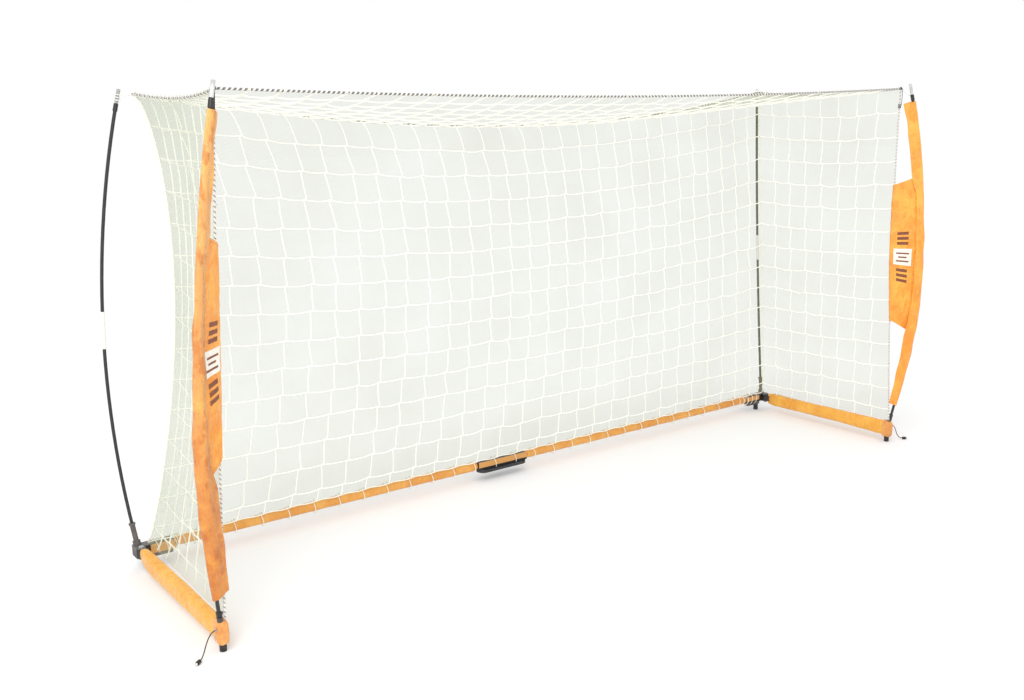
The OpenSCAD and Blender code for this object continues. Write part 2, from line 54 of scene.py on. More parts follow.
ARM_X = 1.83
FRONT_Y = -0.418
REAR_Y = 0.438
BAR_H = 0.072
TIP_H = 1.836
BOW = 0.107
CENTRE_X = -0.07
CENTRE_GAP = 0.29
FRONT_CORNER = np.array([-1.731, -0.443, 1.814])
REAR_CORNER = np.array([-1.699, 0.428, 1.819])
REAR_FOOT_CORNER = np.array([-1.802, 0.404, 0.108])
FRONT_FOOT_CORNER = np.array([-1.821, -0.431, 0.118])
MIRROR = np.array([-1.0, 1.0, 1.0])


def unit(v):
    v = np.asarray(v, float)
    return v / np.maximum(np.linalg.norm(v, axis=-1, keepdims=True), 1e-12)


class Arc:
    """The arc of a left pole, measured in metres from its foot."""

    def __init__(self, foot, tip, bow):
        foot, tip = np.array(foot), np.array(tip)
        chord = np.linalg.norm(tip - foot)
        self.along = unit(tip - foot)
        flat = np.array([bow[0], bow[1], 0.0])
        self.out = unit(flat - self.along * (flat @ self.along))
        self.radius = chord**2 / (8 * BOW) + BOW / 2
        self.half = math.asin(chord / 2 / self.radius)
        self.length = 2 * self.half * self.radius
        self.centre = (foot + tip) / 2 - self.out * (self.radius - BOW)

    def point(self, s):
        a = np.asarray(s, float)[..., None] / self.radius - self.half
        return self.centre + self.radius * (self.out * np.cos(a) + self.along * np.sin(a))

    def direction(self, s):
        a = np.asarray(s, float)[..., None] / self.radius - self.half
        return self.along * np.cos(a) - self.out * np.sin(a)


front_arc = Arc([-ARM_X, FRONT_Y, BAR_H], [-ARM_X + 0.084, FRONT_Y - 0.066, TIP_H], (-0.80, -0.60))
rear_arc = Arc([-ARM_X, REAR_Y, BAR_H], [-ARM_X + 0.094, REAR_Y + 0.025, TIP_H], (-0.70, 0.72))


def mix(a, b, t):
    t = np.asarray(t, float)[..., None]
    return a * (1 - t) + b * t


def belly(t):
    return (4 * t * (1 - t))[..., None]


def smooth(t):
    t = np.clip(t, 0, 1)
    return t * t * (3 - 2 * t)


def scallop(t):
    return (np.maximum(np.sin(np.pi * np.clip(t, 0, 1) ** 0.8), 0) ** 0.75)[..., None]


def front_edge(t):
    return mix(FRONT_FOOT_CORNER, FRONT_CORNER, t) + np.array([0.0, 0.018, 0]) * belly(t)


def rear_edge(t):
    return mix(REAR_FOOT_CORNER, REAR_CORNER, t) + np.array([0.1, -0.1, 0]) * scallop(1 - t)


def side_top_edge(t):
    return mix(FRONT_CORNER, REAR_CORNER, t) + np.array([0.026, 0, -0.022]) * belly(t)


def side_low_edge(t):
    return mix(FRONT_FOOT_CORNER, REAR_FOOT_CORNER, t)


def front_top_edge(t):
    return mix(FRONT_CORNER, FRONT_CORNER * MIRROR, t) + np.array([0, 0.07, -0.029]) * belly(t)


def rear_top_edge(t):
    return mix(REAR_CORNER, REAR_CORNER * MIRROR, t) + np.array([0, -0.07, -0.148]) * belly(t)


def rear_low_edge(t):
    return mix(REAR_FOOT_CORNER, REAR_FOOT_CORNER * MIRROR, t)


def filled(u, v, left, right, low, high):
    """The surface that fills four edges: u across, v up."""
    u, v = np.broadcast_arrays(np.asarray(u, float), np.asarray(v, float))
    zero, one = np.zeros(1), np.ones(1)
    corners = mix(
        mix(low(zero)[0], low(one)[0], u), mix(high(zero)[0], high(one)[0], u), v
    )
    return mix(left(v), right(v), u) + mix(low(u), high(u), v) - corners


def rear_point(u, v):
    return filled(u, v, rear_edge, lambda t: rear_edge(t) * MIRROR, rear_low_edge, rear_top_edge)


def side_point(u, v):
    return filled(u, v, front_edge, rear_edge, side_low_edge, side_top_edge)


def roof_point(u, v):
    return filled(
        u, v, side_top_edge, lambda t: side_top_edge(t) * MIRROR, front_top_edge, rear_top_edge
    )


# ---------- Procedural materials ----------


class Shade:
    """A node material, built a socket at a time."""

    def __init__(self, name, **sockets):
        self.material = bpy.data.materials.new(name)
        self.material.use_nodes = True
        self.tree = self.material.node_tree
        self.shader = self.tree.nodes["Principled BSDF"]
        for key, value in sockets.items():
            self.shader.inputs[key.replace("_", " ")].default_value = value

    def node(self, kind, ins=(), **props):
        n = self.tree.nodes.new("ShaderNode" + kind)
        for key, value in props.items():
            setattr(n, key, value)
        for key, value in dict(ins).items():
            self.plug(n.inputs[key], value)
        return n

    def plug(self, socket, value):
        if isinstance(value, bpy.types.NodeSocket):
            self.tree.links.new(value, socket)
        else:
            socket.default_value = value

    def place(self, kind="Object", scale=(1, 1, 1)):
        out = self.node("TexCoord").outputs[kind]
        return self.node("Mapping", {"Vector": out, "Scale": scale}).outputs[0]

    def noise(self, where, scale, detail=3.0, rough=0.55):
        ins = {"Vector": where, "Scale": scale, "Detail": detail, "Roughness": rough}
        return self.node("TexNoise", ins).outputs[0]

    def bands(self, where, scale, axis="X", distort=0.0):
        ins = {"Vector": where, "Scale": scale, "Distortion": distort}
        return self.node("TexWave", ins, bands_direction=axis).outputs["Fac"]

    def math(self, operation, a, b=0.5):
        return self.node("Math", {0: a, 1: b}, operation=operation).outputs[0]

    def times(self, a, b):
        return self.math("MULTIPLY", a, b)

    def ramp(self, value, low, high):
        ins = {"Value": value, "From Min": low, "From Max": high}
        return self.node("MapRange", ins).outputs[0]

    def colours(self, share, a, b):
        n = self.node("Mix", data_type="RGBA")
        self.plug(n.inputs[0], share)
        self.plug(n.inputs[6], (*a, 1) if isinstance(a, tuple) else a)
        self.plug(n.inputs[7], (*b, 1) if isinstance(b, tuple) else b)
        return n.outputs[2]

    def bump(self, height, distance, strength=1.0):
        ins = {"Height": height, "Distance": distance, "Strength": strength}
        self.plug(self.shader.inputs["Normal"], self.node("Bump", ins).outputs[0])

    def colour(self, value):
        self.plug(self.shader.inputs["Base Color"], value)

    def rough(self, value):
        self.plug(self.shader.inputs["Roughness"], value)


def thread_weave(s, where, per_metre):
    """Height of a plain weave: two sets of threads, crossing."""
    a = s.bands(where, per_metre, "X")
    b = s.bands(where, per_metre, "Y")
    c = s.bands(where, per_metre, "Z")
    return s.math("ADD", s.math("MAXIMUM", a, b), s.times(c, 0.5))


def orange_cloth(name, base, shade, worn, painted_top_light=0.0):
    """Coated woven cloth: colour drift, creases darkened by painted shade, pale rubbed places, and
    painted light that makes it paler towards the top.
    """
    s = Shade(name, Roughness=0.7, Sheen_Weight=0.04, Sheen_Roughness=0.4)
    where = s.place()
    drift = s.ramp(s.noise(where, 9.0, 4.0), 0.36, 0.66)
    crease = s.ramp(s.noise(s.place(scale=(1, 1, 0.55)), 27.0, 6.0, 0.66), 0.50, 0.58)
    height = s.node("SeparateXYZ", {0: where}).outputs[2]
    rubbed = s.ramp(s.noise(where, 60.0, 6.0, 0.7), 0.56, 0.76)
    # Painted light: higher up, the cloth is mixed towards the pale colour, standing in for the
    # light on its upper part.
    top_light_share = s.times(s.ramp(height, 0.3, 1.4), painted_top_light)
    first = s.colours(top_light_share, s.colours(drift, base, shade), worn)
    # Painted shade: the crease mask darkens the cloth towards the shade colour in its creases.
    second = s.colours(s.times(crease, 0.55), first, shade)
    s.colour(s.colours(s.times(rubbed, 0.5), second, worn))
    weave = thread_weave(s, where, 260.0)
    wrinkle = s.noise(s.place(scale=(1, 1, 0.5)), 42.0, 4.0, 0.6)
    relief = s.math("ADD", s.times(weave, 0.03), s.times(wrinkle, 3.0))
    s.bump(relief, 0.0045, 1.0)
    s.rough(s.ramp(crease, -0.6, 2.2))
    return s.material


def twine(name, base, shade, per_metre=90.0):
    """Twisted cord: its strands run round it."""
    s = Shade(name, Roughness=0.75, Sheen_Weight=0.2)
    uv = s.place("UV")
    around = s.node("SeparateXYZ", {0: uv}).outputs
    turn = s.math("ADD", around[0], s.times(around[1], per_metre))
    strand = s.math("PINGPONG", turn, 0.5)
    fluff = s.ramp(s.noise(s.place(), 220.0, 3.0), 0.3, 0.8)
    first = s.colours(s.ramp(strand, 0.02, 0.25), shade, base)
    s.colour(s.colours(s.times(fluff, 0.18), first, shade))
    s.bump(strand, 0.0015, 0.8)
    s.rough(s.ramp(fluff, -3.0, 1.4))
    return s.material


def braid(name, dark, pale, per_metre, share):
    """Braided rope: dark and pale bundles run round it in steps."""
    s = Shade(name, Roughness=0.7, Sheen_Weight=0.2)
    uv = s.node("SeparateXYZ", {0: s.place("UV")}).outputs
    along = s.times(uv[1], per_metre)
    first = s.math("FRACT", s.math("ADD", along, uv[0]))
    second = s.math("FRACT", s.math("SUBTRACT", along, uv[0]))
    mark = s.math("LESS_THAN", first, share)
    strand = s.math("PINGPONG", s.times(second, 2.0), 0.5)
    grain = s.noise(s.place(), 400.0, 3.0)
    tone = s.colours(s.times(grain, 0.3), dark, pale)
    cloth = s.colours(s.times(grain, 0.25), pale, dark)
    s.colour(s.colours(mark, cloth, tone))
    s.bump(s.math("ADD", s.times(first, 0.6), strand), 0.0015, 0.9)
    s.rough(s.ramp(grain, -2.0, 1.3))
    return s.material


def metal(name, base, dark, rough, metallic=1.0):
    """Metal with a faint grain, scuffs and duller patches."""
    s = Shade(name, Metallic=metallic)
    where = s.place()
    patch = s.ramp(s.noise(where, 12.0, 4.0), 0.35, 0.7)
    scuff = s.ramp(s.noise(s.place(scale=(6, 1, 1)), 160.0, 5.0, 0.7), 0.55, 0.78)
    s.colour(s.colours(s.times(scuff, 0.5), s.colours(patch, base, dark), dark))
    s.rough(s.ramp(patch, -rough * 2.5, rough * 2.2))
    s.bump(s.noise(where, 320.0, 3.0), 0.0003, 0.35)
    return s.material


def plastic(name, base, worn, rough, scale=50.0):
    """Moulded plastic or rubber: fine grain, with dusty rubbed places."""
    s = Shade(name)
    where = s.place()
    rubbed = s.ramp(s.noise(where, scale, 5.0, 0.65), 0.52, 0.78)
    s.colour(s.colours(s.times(rubbed, 0.6), base, worn))
    s.rough(s.ramp(rubbed, -rough * 3.0, rough * 3.6))
    s.bump(s.noise(where, scale * 18, 3.0), 0.0003, 0.5)
    return s.material


def webbing(name, base, shade):
    """Flat woven webbing: close ribs across, and an uneven tone."""
    s = Shade(name, Roughness=0.75, Sheen_Weight=0.2)
    uv = s.place("UV")
    rib = s.bands(uv, 420.0, "Y", 0.4)
    warp = s.bands(uv, 294.0, "X", 0.4)
    grain = s.noise(s.place(), 180.0, 4.0)
    s.colour(s.colours(s.times(s.math("ADD", rib, grain), 0.5), base, shade))
    s.bump(s.times(rib, warp), 0.0008, 0.8)
    s.rough(s.ramp(grain, -1.5, 1.2))
    return s.material


def fine_mesh(name, thread, share):
    """The net's fine lining: see-through, with threads that lie close together."""
    s = Shade(name, Roughness=0.8)
    uv = s.place("UV")
    threads = s.math("MAXIMUM", s.bands(uv, 62.0, "X", 0.6), s.bands(uv, 62.0, "Y", 0.6))
    cloud = s.noise(s.place(), 2.6, 4.0)
    cover = s.math("ADD", s.times(threads, share), s.times(cloud, share))
    s.colour(s.colours(cloud, thread, tuple(c * 0.86 for c in thread)))
    s.plug(s.shader.inputs["Alpha"], cover)
    return s.material


def patch_cloth(name, base, shade):
    """A sewn-on printed patch: smooth, with a faint weave and faded places."""
    s = Shade(name, Roughness=0.55)
    fade = s.ramp(s.noise(s.place(), 70.0, 4.0), 0.4, 0.75)
    s.colour(s.colours(s.times(fade, 0.6), base, shade))
    s.bump(thread_weave(s, s.place(), 320.0), 0.0004, 0.5)
    s.rough(s.ramp(fade, -1.5, 1.8))
    return s.material


M_ARM = orange_cloth("arm_cloth", (0.89, 0.45, 0.062), (0.81, 0.35, 0.040), (0.93, 0.57, 0.16))
M_CAP = orange_cloth("cap_cloth", (0.83, 0.40, 0.105), (0.66, 0.24, 0.055), (0.88, 0.53, 0.22))
# The last number of the pole and flap cloths is painted top light: how far each pales towards the
# top.
M_POLE_COVER = orange_cloth(
    "pole_cloth", (0.72, 0.29, 0.042), (0.50, 0.12, 0.017), (0.90, 0.50, 0.16), painted_top_light=0.62
)
M_FLAP = orange_cloth(
    "flap_cloth", (0.99, 0.435, 0.050), (0.84, 0.270, 0.026), (1.0, 0.56, 0.14), painted_top_light=0.2
)
M_BAR_COVER = orange_cloth(
    "bar_cloth", (0.83, 0.41, 0.085), (0.72, 0.30, 0.050), (0.89, 0.53, 0.17)
)
M_STRIP = webbing("orange_webbing", (0.84, 0.43, 0.11), (0.71, 0.31, 0.065))
M_THREAD = twine("pale_thread", (0.90, 0.55, 0.25), (0.66, 0.33, 0.12), 300.0)
M_CORD = twine("net_cord", (1.0, 0.995, 0.93), (0.95, 0.93, 0.83))
M_LACE = twine("lace_cord", (0.97, 0.94, 0.84), (0.74, 0.69, 0.56), 120.0)
M_LINER = fine_mesh("fine_mesh", (0.40, 0.455, 0.275), 0.215)
M_ROPE = braid("rope_braid", (0.03, 0.03, 0.033), (0.82, 0.80, 0.74), 55.0, 0.52)
M_SIDE_ROPE = braid("side_rope_braid", (0.16, 0.155, 0.15), (0.88, 0.865, 0.80), 62.0, 0.30)
M_THIN_ROPE = braid("thin_rope_braid", (0.035, 0.035, 0.038), (0.82, 0.80, 0.74), 42.0, 0.60)
M_BUNGEE = braid("elastic", (0.72, 0.70, 0.64), (0.97, 0.96, 0.93), 160.0, 0.30)
M_BLACK_WEB = webbing("black_webbing", (0.012, 0.012, 0.014), (0.05, 0.05, 0.052))
M_BLACK_CORD = braid("black_cord", (0.012, 0.011, 0.011), (0.07, 0.06, 0.055), 240.0, 0.6)
M_STEEL = metal("dark_steel", (0.10, 0.10, 0.105), (0.055, 0.052, 0.05), 0.42, 0.6)
M_BRACKET = metal("bracket_steel", (0.19, 0.18, 0.175), (0.11, 0.10, 0.092), 0.5, 0.4)
M_SOCKET = metal("socket_steel", (0.16, 0.14, 0.13), (0.09, 0.078, 0.07), 0.45, 0.5)
M_ZINC = metal("zinc", (0.62, 0.62, 0.63), (0.42, 0.42, 0.43), 0.32)
M_SILVER = metal("silver_tip", (0.78, 0.78, 0.77), (0.60, 0.60, 0.59), 0.28)
M_POLE = plastic("black_pole", (0.020, 0.019, 0.019), (0.07, 0.066, 0.062), 0.35, 30.0)
M_FERRULE = plastic("pale_ferrule", (0.82, 0.81, 0.77), (0.62, 0.60, 0.55), 0.4, 30.0)
M_BLACK = plastic("black_plastic", (0.016, 0.016, 0.018), (0.075, 0.075, 0.08), 0.45)
M_PAD = plastic("foot_plastic", (0.018, 0.018, 0.022), (0.11, 0.11, 0.12), 0.5)
M_RUBBER = plastic("rubber", (0.014, 0.014, 0.014), (0.06, 0.055, 0.05), 0.75)
M_CLEAR = plastic("cord_end", (0.62, 0.60, 0.56), (0.42, 0.40, 0.37), 0.3)
M_PATCH = patch_cloth("patch", (0.90, 0.87, 0.78), (0.76, 0.72, 0.62))
M_PRINT = patch_cloth("print", (0.20, 0.055, 0.022), (0.34, 0.11, 0.04))

# ---------- Mesh building ----------

BORDER = ((0, slice(None)), (-1, slice(None)), (slice(None), 0), (slice(None), -1))


class Soup:
    """Vertices, faces, UVs in metres and material numbers, gathered from many small shapes."""

    def __init__(self):
        self.verts, self.faces, self.uvs, self.mats = [], [], [], []
        self.count = 0

    def add(self, verts, faces, uvs, mat=0):
        """faces is an N x K array, and uvs an N x K x 2 array."""
        self.verts.append(np.asarray(verts, float).reshape(-1, 3))
        self.faces += (np.asarray(faces) + self.count).tolist()
        self.uvs.append(np.asarray(uvs, float).reshape(-1, 2))
        self.mats += [mat] * len(faces)
        self.count += len(self.verts[-1])

    def tube(self, path, radius, sides, hint, mat=0, closed=False, caps=True):
        """A round tube along a path. hint is a direction that the path never takes."""
        path = np.asarray(path, float)
        n = len(path)
        if closed:
            tangent = unit(np.roll(path, -1, 0) - np.roll(path, 1, 0))
        else:
            tangent = unit(np.gradient(path, axis=0))
        a = unit(np.cross(np.asarray(hint, float), tangent))
        b = np.cross(tangent, a)
        turn = np.linspace(0, 2 * np.pi, sides, endpoint=False)
        ring = a[:, None] * np.cos(turn)[None, :, None] + b[:, None] * np.sin(turn)[None, :, None]
        verts = path[:, None] + ring * radius
        steps = np.linalg.norm(np.diff(path, axis=0), axis=1)
        length = np.concatenate([[0], np.cumsum(steps)])
        if closed:
            length = np.append(length, length[-1] + np.linalg.norm(path[0] - path[-1]))
        rows = n if closed else n - 1
        i, k = np.meshgrid(np.arange(rows), np.arange(sides), indexing="ij")
        i, k = i.ravel(), k.ravel()
        j, m = (i + 1) % n, (k + 1) % sides
        faces = np.stack([i * sides + k, i * sides + m, j * sides + m, j * sides + k], 1)
        u0, u1, v0, v1 = k / sides, (k + 1) / sides, length[i], length[i + 1]
        uvs = np.stack([u0, v0, u1, v0, u1, v1, u0, v1], 1).reshape(-1, 4, 2)
        self.add(verts.reshape(-1, 3), faces, uvs, mat)
        if caps and not closed:
            base = self.count - n * sides
            for first, order in ((0, range(sides - 1, -1, -1)), ((n - 1) * sides, range(sides))):
                self.faces.append([base + first + q for q in order])
                self.uvs.append(np.zeros((sides, 2)))
                self.mats.append(mat)

    def grid(self, points, uvs=None, mat=0, wrap=False, flip=False):
        """A sheet over a grid of points. wrap closes it across its columns."""
        points = np.asarray(points, float)
        rows, cols = points.shape[:2]
        wide = cols if wrap else cols - 1
        i, k = np.meshgrid(np.arange(rows - 1), np.arange(wide), indexing="ij")
        i, k = i.ravel(), k.ravel()
        m = (k + 1) % cols
        faces = np.stack([i * cols + k, i * cols + m, (i + 1) * cols + m, (i + 1) * cols + k], 1)
        if uvs is None:
            across = np.concatenate(
                [[0], np.cumsum(np.linalg.norm(np.diff(points[rows // 2], axis=0), axis=1))]
            )
            up = np.concatenate(
                [[0], np.cumsum(np.linalg.norm(np.diff(points[:, 0], axis=0), axis=1))]
            )
            across = np.append(across, across[-1] + (across[1] - across[0]))
            u0, u1, v0, v1 = across[k], across[k + 1], up[i], up[i + 1]
            loops = np.stack([u0, v0, u1, v0, u1, v1, u0, v1], 1).reshape(-1, 4, 2)
        else:
            loops = uvs.reshape(-1, 2)[faces]
        if flip:
            faces, loops = faces[:, ::-1], loops[:, ::-1]
        self.add(points.reshape(-1, 3), faces, loops, mat)

    def rim(self, face, back, mat=0, flipped=()):
        """Closes the four edges between two grids of points."""
        for number, index in enumerate(BORDER):
            self.grid(np.array([face[index], back[index]]), mat=mat, flip=number in flipped)

    def blob(self, centre, axes, rings, sides):
        """An egg round a centre. axes are its three half-lengths as vectors, the long one first."""
        axes = np.asarray(axes, float)
        lat = np.linspace(-np.pi / 2, np.pi / 2, rings + 1)[1:-1]
        lon = np.linspace(0, 2 * np.pi, sides, endpoint=False)
        la, lo = np.meshgrid(lat, lon, indexing="ij")
        shape = np.stack([np.sin(la), np.cos(la) * np.cos(lo), np.cos(la) * np.sin(lo)], -1)
        verts = np.concatenate([shape.reshape(-1, 3), [[-1, 0, 0], [1, 0, 0]]]) @ axes + centre
        faces, ends, n = [], [], sides * (rings - 1)
        for row in range(0, n - sides, sides):
            for k in range(sides):
                m = (k + 1) % sides
                faces.append([row + k, row + m, row + sides + m, row + sides + k])
        for k in range(sides):
            m = (k + 1) % sides
            ends += [[n, m, k], [n + 1, n - sides + k, n - sides + m]]
        uv = shape[..., 1:].reshape(-1, 2) * 0.01
        uv = np.concatenate([uv, [[0, 0], [0.01, 0]]])
        base = self.count
        self.add(verts, faces, uv[np.array(faces)])
        self.faces += [[base + q for q in f] for f in ends]
        self.uvs.append(uv[np.array(ends)].reshape(-1, 2))
        self.mats += [0] * len(ends)

    def mirrored(self):
        other = Soup()
        other.verts = [v * MIRROR for v in self.verts]
        other.faces = [f[::-1] for f in self.faces]
        flat = np.concatenate(self.uvs)
        out, at = [], 0
        for f in self.faces:
            out.append(flat[at : at + len(f)][::-1])
            at += len(f)
        other.uvs, other.mats, other.count = out, list(self.mats), self.count
        return other

    def build(self, name, materials):
        mesh = bpy.data.meshes.new(name)
        mesh.from_pydata(np.concatenate(self.verts).tolist(), [], self.faces)
        layer = mesh.uv_layers.new(name="UVMap")
        layer.data.foreach_set("uv", np.concatenate(self.uvs).astype(np.float32).ravel())
        mesh.polygons.foreach_set("material_index", self.mats)
        mesh.polygons.foreach_set("use_smooth", [True] * len(mesh.polygons))
        for m in materials:
            mesh.materials.append(m)
        mesh.update()
        obj = bpy.data.objects.new(name, mesh)
        bpy.context.scene.collection.objects.link(obj)
        return obj


def piece(soup, name, materials, body, stands_for=()):
    obj = soup.build(name, materials)
    if body:
        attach(obj, body)
    if stands_for:
        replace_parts(obj, *stands_for)
    return obj


def both(soup, stem, materials, body=None, stands_for=()):
    """A piece on the left and, mirrored, on the right. body and stands_for may hold {side}."""
    made = []
    for side, sign in SIDES:
        s = soup if sign > 0 else soup.mirrored()
        names = [n.format(side=side) for n in stands_for]
        where = body.format(side=side) if body else None
        made.append(piece(s, f"{side}_{stem}", materials, where, names))
    return made


def curve(points, count):
    """count points on a smooth line through a few chosen ones."""
    p = np.asarray(points, float)
    p = np.concatenate([[2 * p[0] - p[1]], p, [2 * p[-1] - p[-2]]])
    t = np.linspace(0, len(points) - 1, count)
    k = np.minimum(t.astype(int), len(points) - 2)
    f = (t - k)[:, None]
    a, b, c, d = p[k], p[k + 1], p[k + 2], p[k + 3]
    return 0.5 * (
        2 * b + (c - a) * f + (2 * a - 5 * b + 4 * c - d) * f**2 + (3 * b - a - 3 * c + d) * f**3
    )


def loop(centre, axis, radius, count=12, tilt=0.0):
    """A ring round an axis, as points."""
    axis = unit(axis)
    side = unit(np.cross(axis, [0.3, 0.2, 0.93]))
    other = np.cross(axis, side)
    turn = np.linspace(0, 2 * np.pi, count, endpoint=False)[:, None]
    ring = radius * (side * np.cos(turn) + other * np.sin(turn))
    return centre + ring + axis * tilt * np.cos(turn)


def rounded_section(half_w, half_h, power, count=28):
    """A closed outline from an ellipse (power 2) to nearly a rectangle (a high power)."""
    turn = np.linspace(0, 2 * np.pi, count, endpoint=False)
    x = np.sign(np.cos(turn)) * np.abs(np.cos(turn)) ** (2 / power) * half_w
    z = np.sign(np.sin(turn)) * np.abs(np.sin(turn)) ** (2 / power) * half_h
    return np.stack([x, z], -1)


def hitches(soup, edge, shares, radius, thread, tilt=0.003, count=12, sides=5):
    """Rings of thread round a rope, at some shares of the edge that it follows."""
    for share in shares:
        before, at, after = edge(share + np.array([-0.001, 0.0, 0.001]))
        way = after - before
        soup.tube(loop(at, way, radius, count, tilt), thread, sides, hint=way, closed=True)


def cloud(p, scale, seed):
    """Smooth noise at many points, from about -1 to 1."""
    flat = np.asarray(p, float).reshape(-1, 3) * scale + seed
    values = [noise.noise(Vector(q)) for q in flat]
    return np.array(values).reshape(np.asarray(p).shape[:-1])


# ---------- Camera and stage ----------

CAMERA_AT = Vector((-2.9728, -3.6187, 1.725))
YAW, PITCH, ROLL = 0.6337, 0.2174, -0.0163
LENS_WIDTHS = 1.0443359375  # the focal length, in widths of the picture

look = Vector(
    (math.sin(YAW) * math.cos(PITCH), math.cos(YAW) * math.cos(PITCH), -math.sin(PITCH))
)
flat_right = Vector((math.cos(YAW), -math.sin(YAW), 0))
flat_up = flat_right.cross(look)
right = math.cos(ROLL) * flat_right + math.sin(ROLL) * flat_up
up = -math.sin(ROLL) * flat_right + math.cos(ROLL) * flat_up

camera_data = bpy.data.cameras.new("camera")
camera_data.sensor_width = 36.0
camera_data.lens = 36.0 * LENS_WIDTHS
camera_data.clip_end = 100.0
camera = bpy.data.objects.new("camera", camera_data)
bpy.context.scene.collection.objects.link(camera)
camera.matrix_world = Matrix.Translation(CAMERA_AT) @ (
    Matrix((right, up, -look)).transposed().to_4x4()
)
bpy.context.scene.camera = camera


def light(name, kind, at, aim, **settings):
    data = bpy.data.lights.new(name, kind)
    for key, value in settings.items():
        setattr(data, key, value)
    obj = bpy.data.objects.new(name, data)
    obj.location = at
    obj.rotation_euler = (Vector(aim) - Vector(at)).to_track_quat("-Z", "Y").to_euler()
    bpy.context.scene.collection.objects.link(obj)


light("key", "SUN", (0, 0, 0), (0.45, 0.35, -1.0), energy=0.62, angle=math.radians(28))
light("fill", "AREA", (-4.0, -4.0, 3.2), (0, 0, 0.8), energy=115, size=3.0, shape="DISK")

world = bpy.data.worlds.new("studio")
world.use_nodes = True
world.node_tree.nodes["Background"].inputs[0].default_value = (1.0, 1.0, 1.0, 1)
world.node_tree.nodes["Background"].inputs[1].default_value = 1.0
bpy.context.scene.world = world
bpy.context.scene.view_settings.view_transform = "Standard"

floor_shade = Shade("pale_floor", Roughness=0.9)
floor_shade.colour(
    floor_shade.colours(
        floor_shade.ramp(floor_shade.noise(floor_shade.place(), 0.7, 3.0), 0.3, 0.7),
        (0.875, 0.875, 0.878),
        (0.86, 0.86, 0.865),
    )
)
floor = Soup()
floor_lines = np.linspace(-40, 40, 9)
fx, fy = np.meshgrid(floor_lines, floor_lines)
floor.grid(np.stack([fx, fy, np.zeros_like(fx)], -1))
floor.build("floor", [floor_shade.material])

# ---------- Drawcords: the CAD's route, as a smooth line ----------

CORD_D = 0.004
CORD_ROUTE = np.array([
    [-1.853, -0.428, 0.084], [-1.862, -0.429, 0.083], [-1.873, -0.430, 0.076],
    [-1.883, -0.431, 0.062], [-1.891, -0.432, 0.046], [-1.898, -0.434, 0.030],
    [-1.905, -0.438, 0.018], [-1.913, -0.444, 0.010], [-1.922, -0.451, 0.007],
])
cord_path = curve(CORD_ROUTE, 33)

for side, sign in SIDES:
    path = cord_path if sign > 0 else cord_path * MIRROR
    soup = Soup()
    soup.tube(path, CORD_D / 2, 10, hint=(0, 1, 0))
    obj = piece(
        soup, f"{side}_drawcord_line", [M_BLACK_CORD], f"{side}_arm",
        [f"{side}_drawcord"],
    )

# ---------- Net panels ----------

CORD_R = 0.0027  # net cord
STEP = 0.0065  # from a knot's middle sideways to the end of an upright cord
LIFT = 0.004  # from the fine mesh to the cords
SAG = 0.0022  # of a level cord, and how far a cord bows at random
KNOT_L, KNOT_W, KNOT_H = 0.0087, 0.0044, 0.0040  # half sizes
BELLY = 0.004  # of the fine mesh in a cell
NET_H = 1.72
UNEVEN = 0.0012  # how far a knot is off its place, as a share of the panel
PARTS = np.linspace(0, 1, 6)  # of a cord between two knots
FIRST_ROW, ROW_STEP, ROW_COUNT = 0.0374, 0.0689, 14
ROWS = np.concatenate([[0.0], FIRST_ROW + ROW_STEP * np.arange(ROW_COUNT), [1.0]])
REAR_COLS = np.linspace(0, 1, 31)
SIDE_COLS = np.linspace(0, 1, 9)
ROOF_ROWS = np.linspace(0, 1, 9)


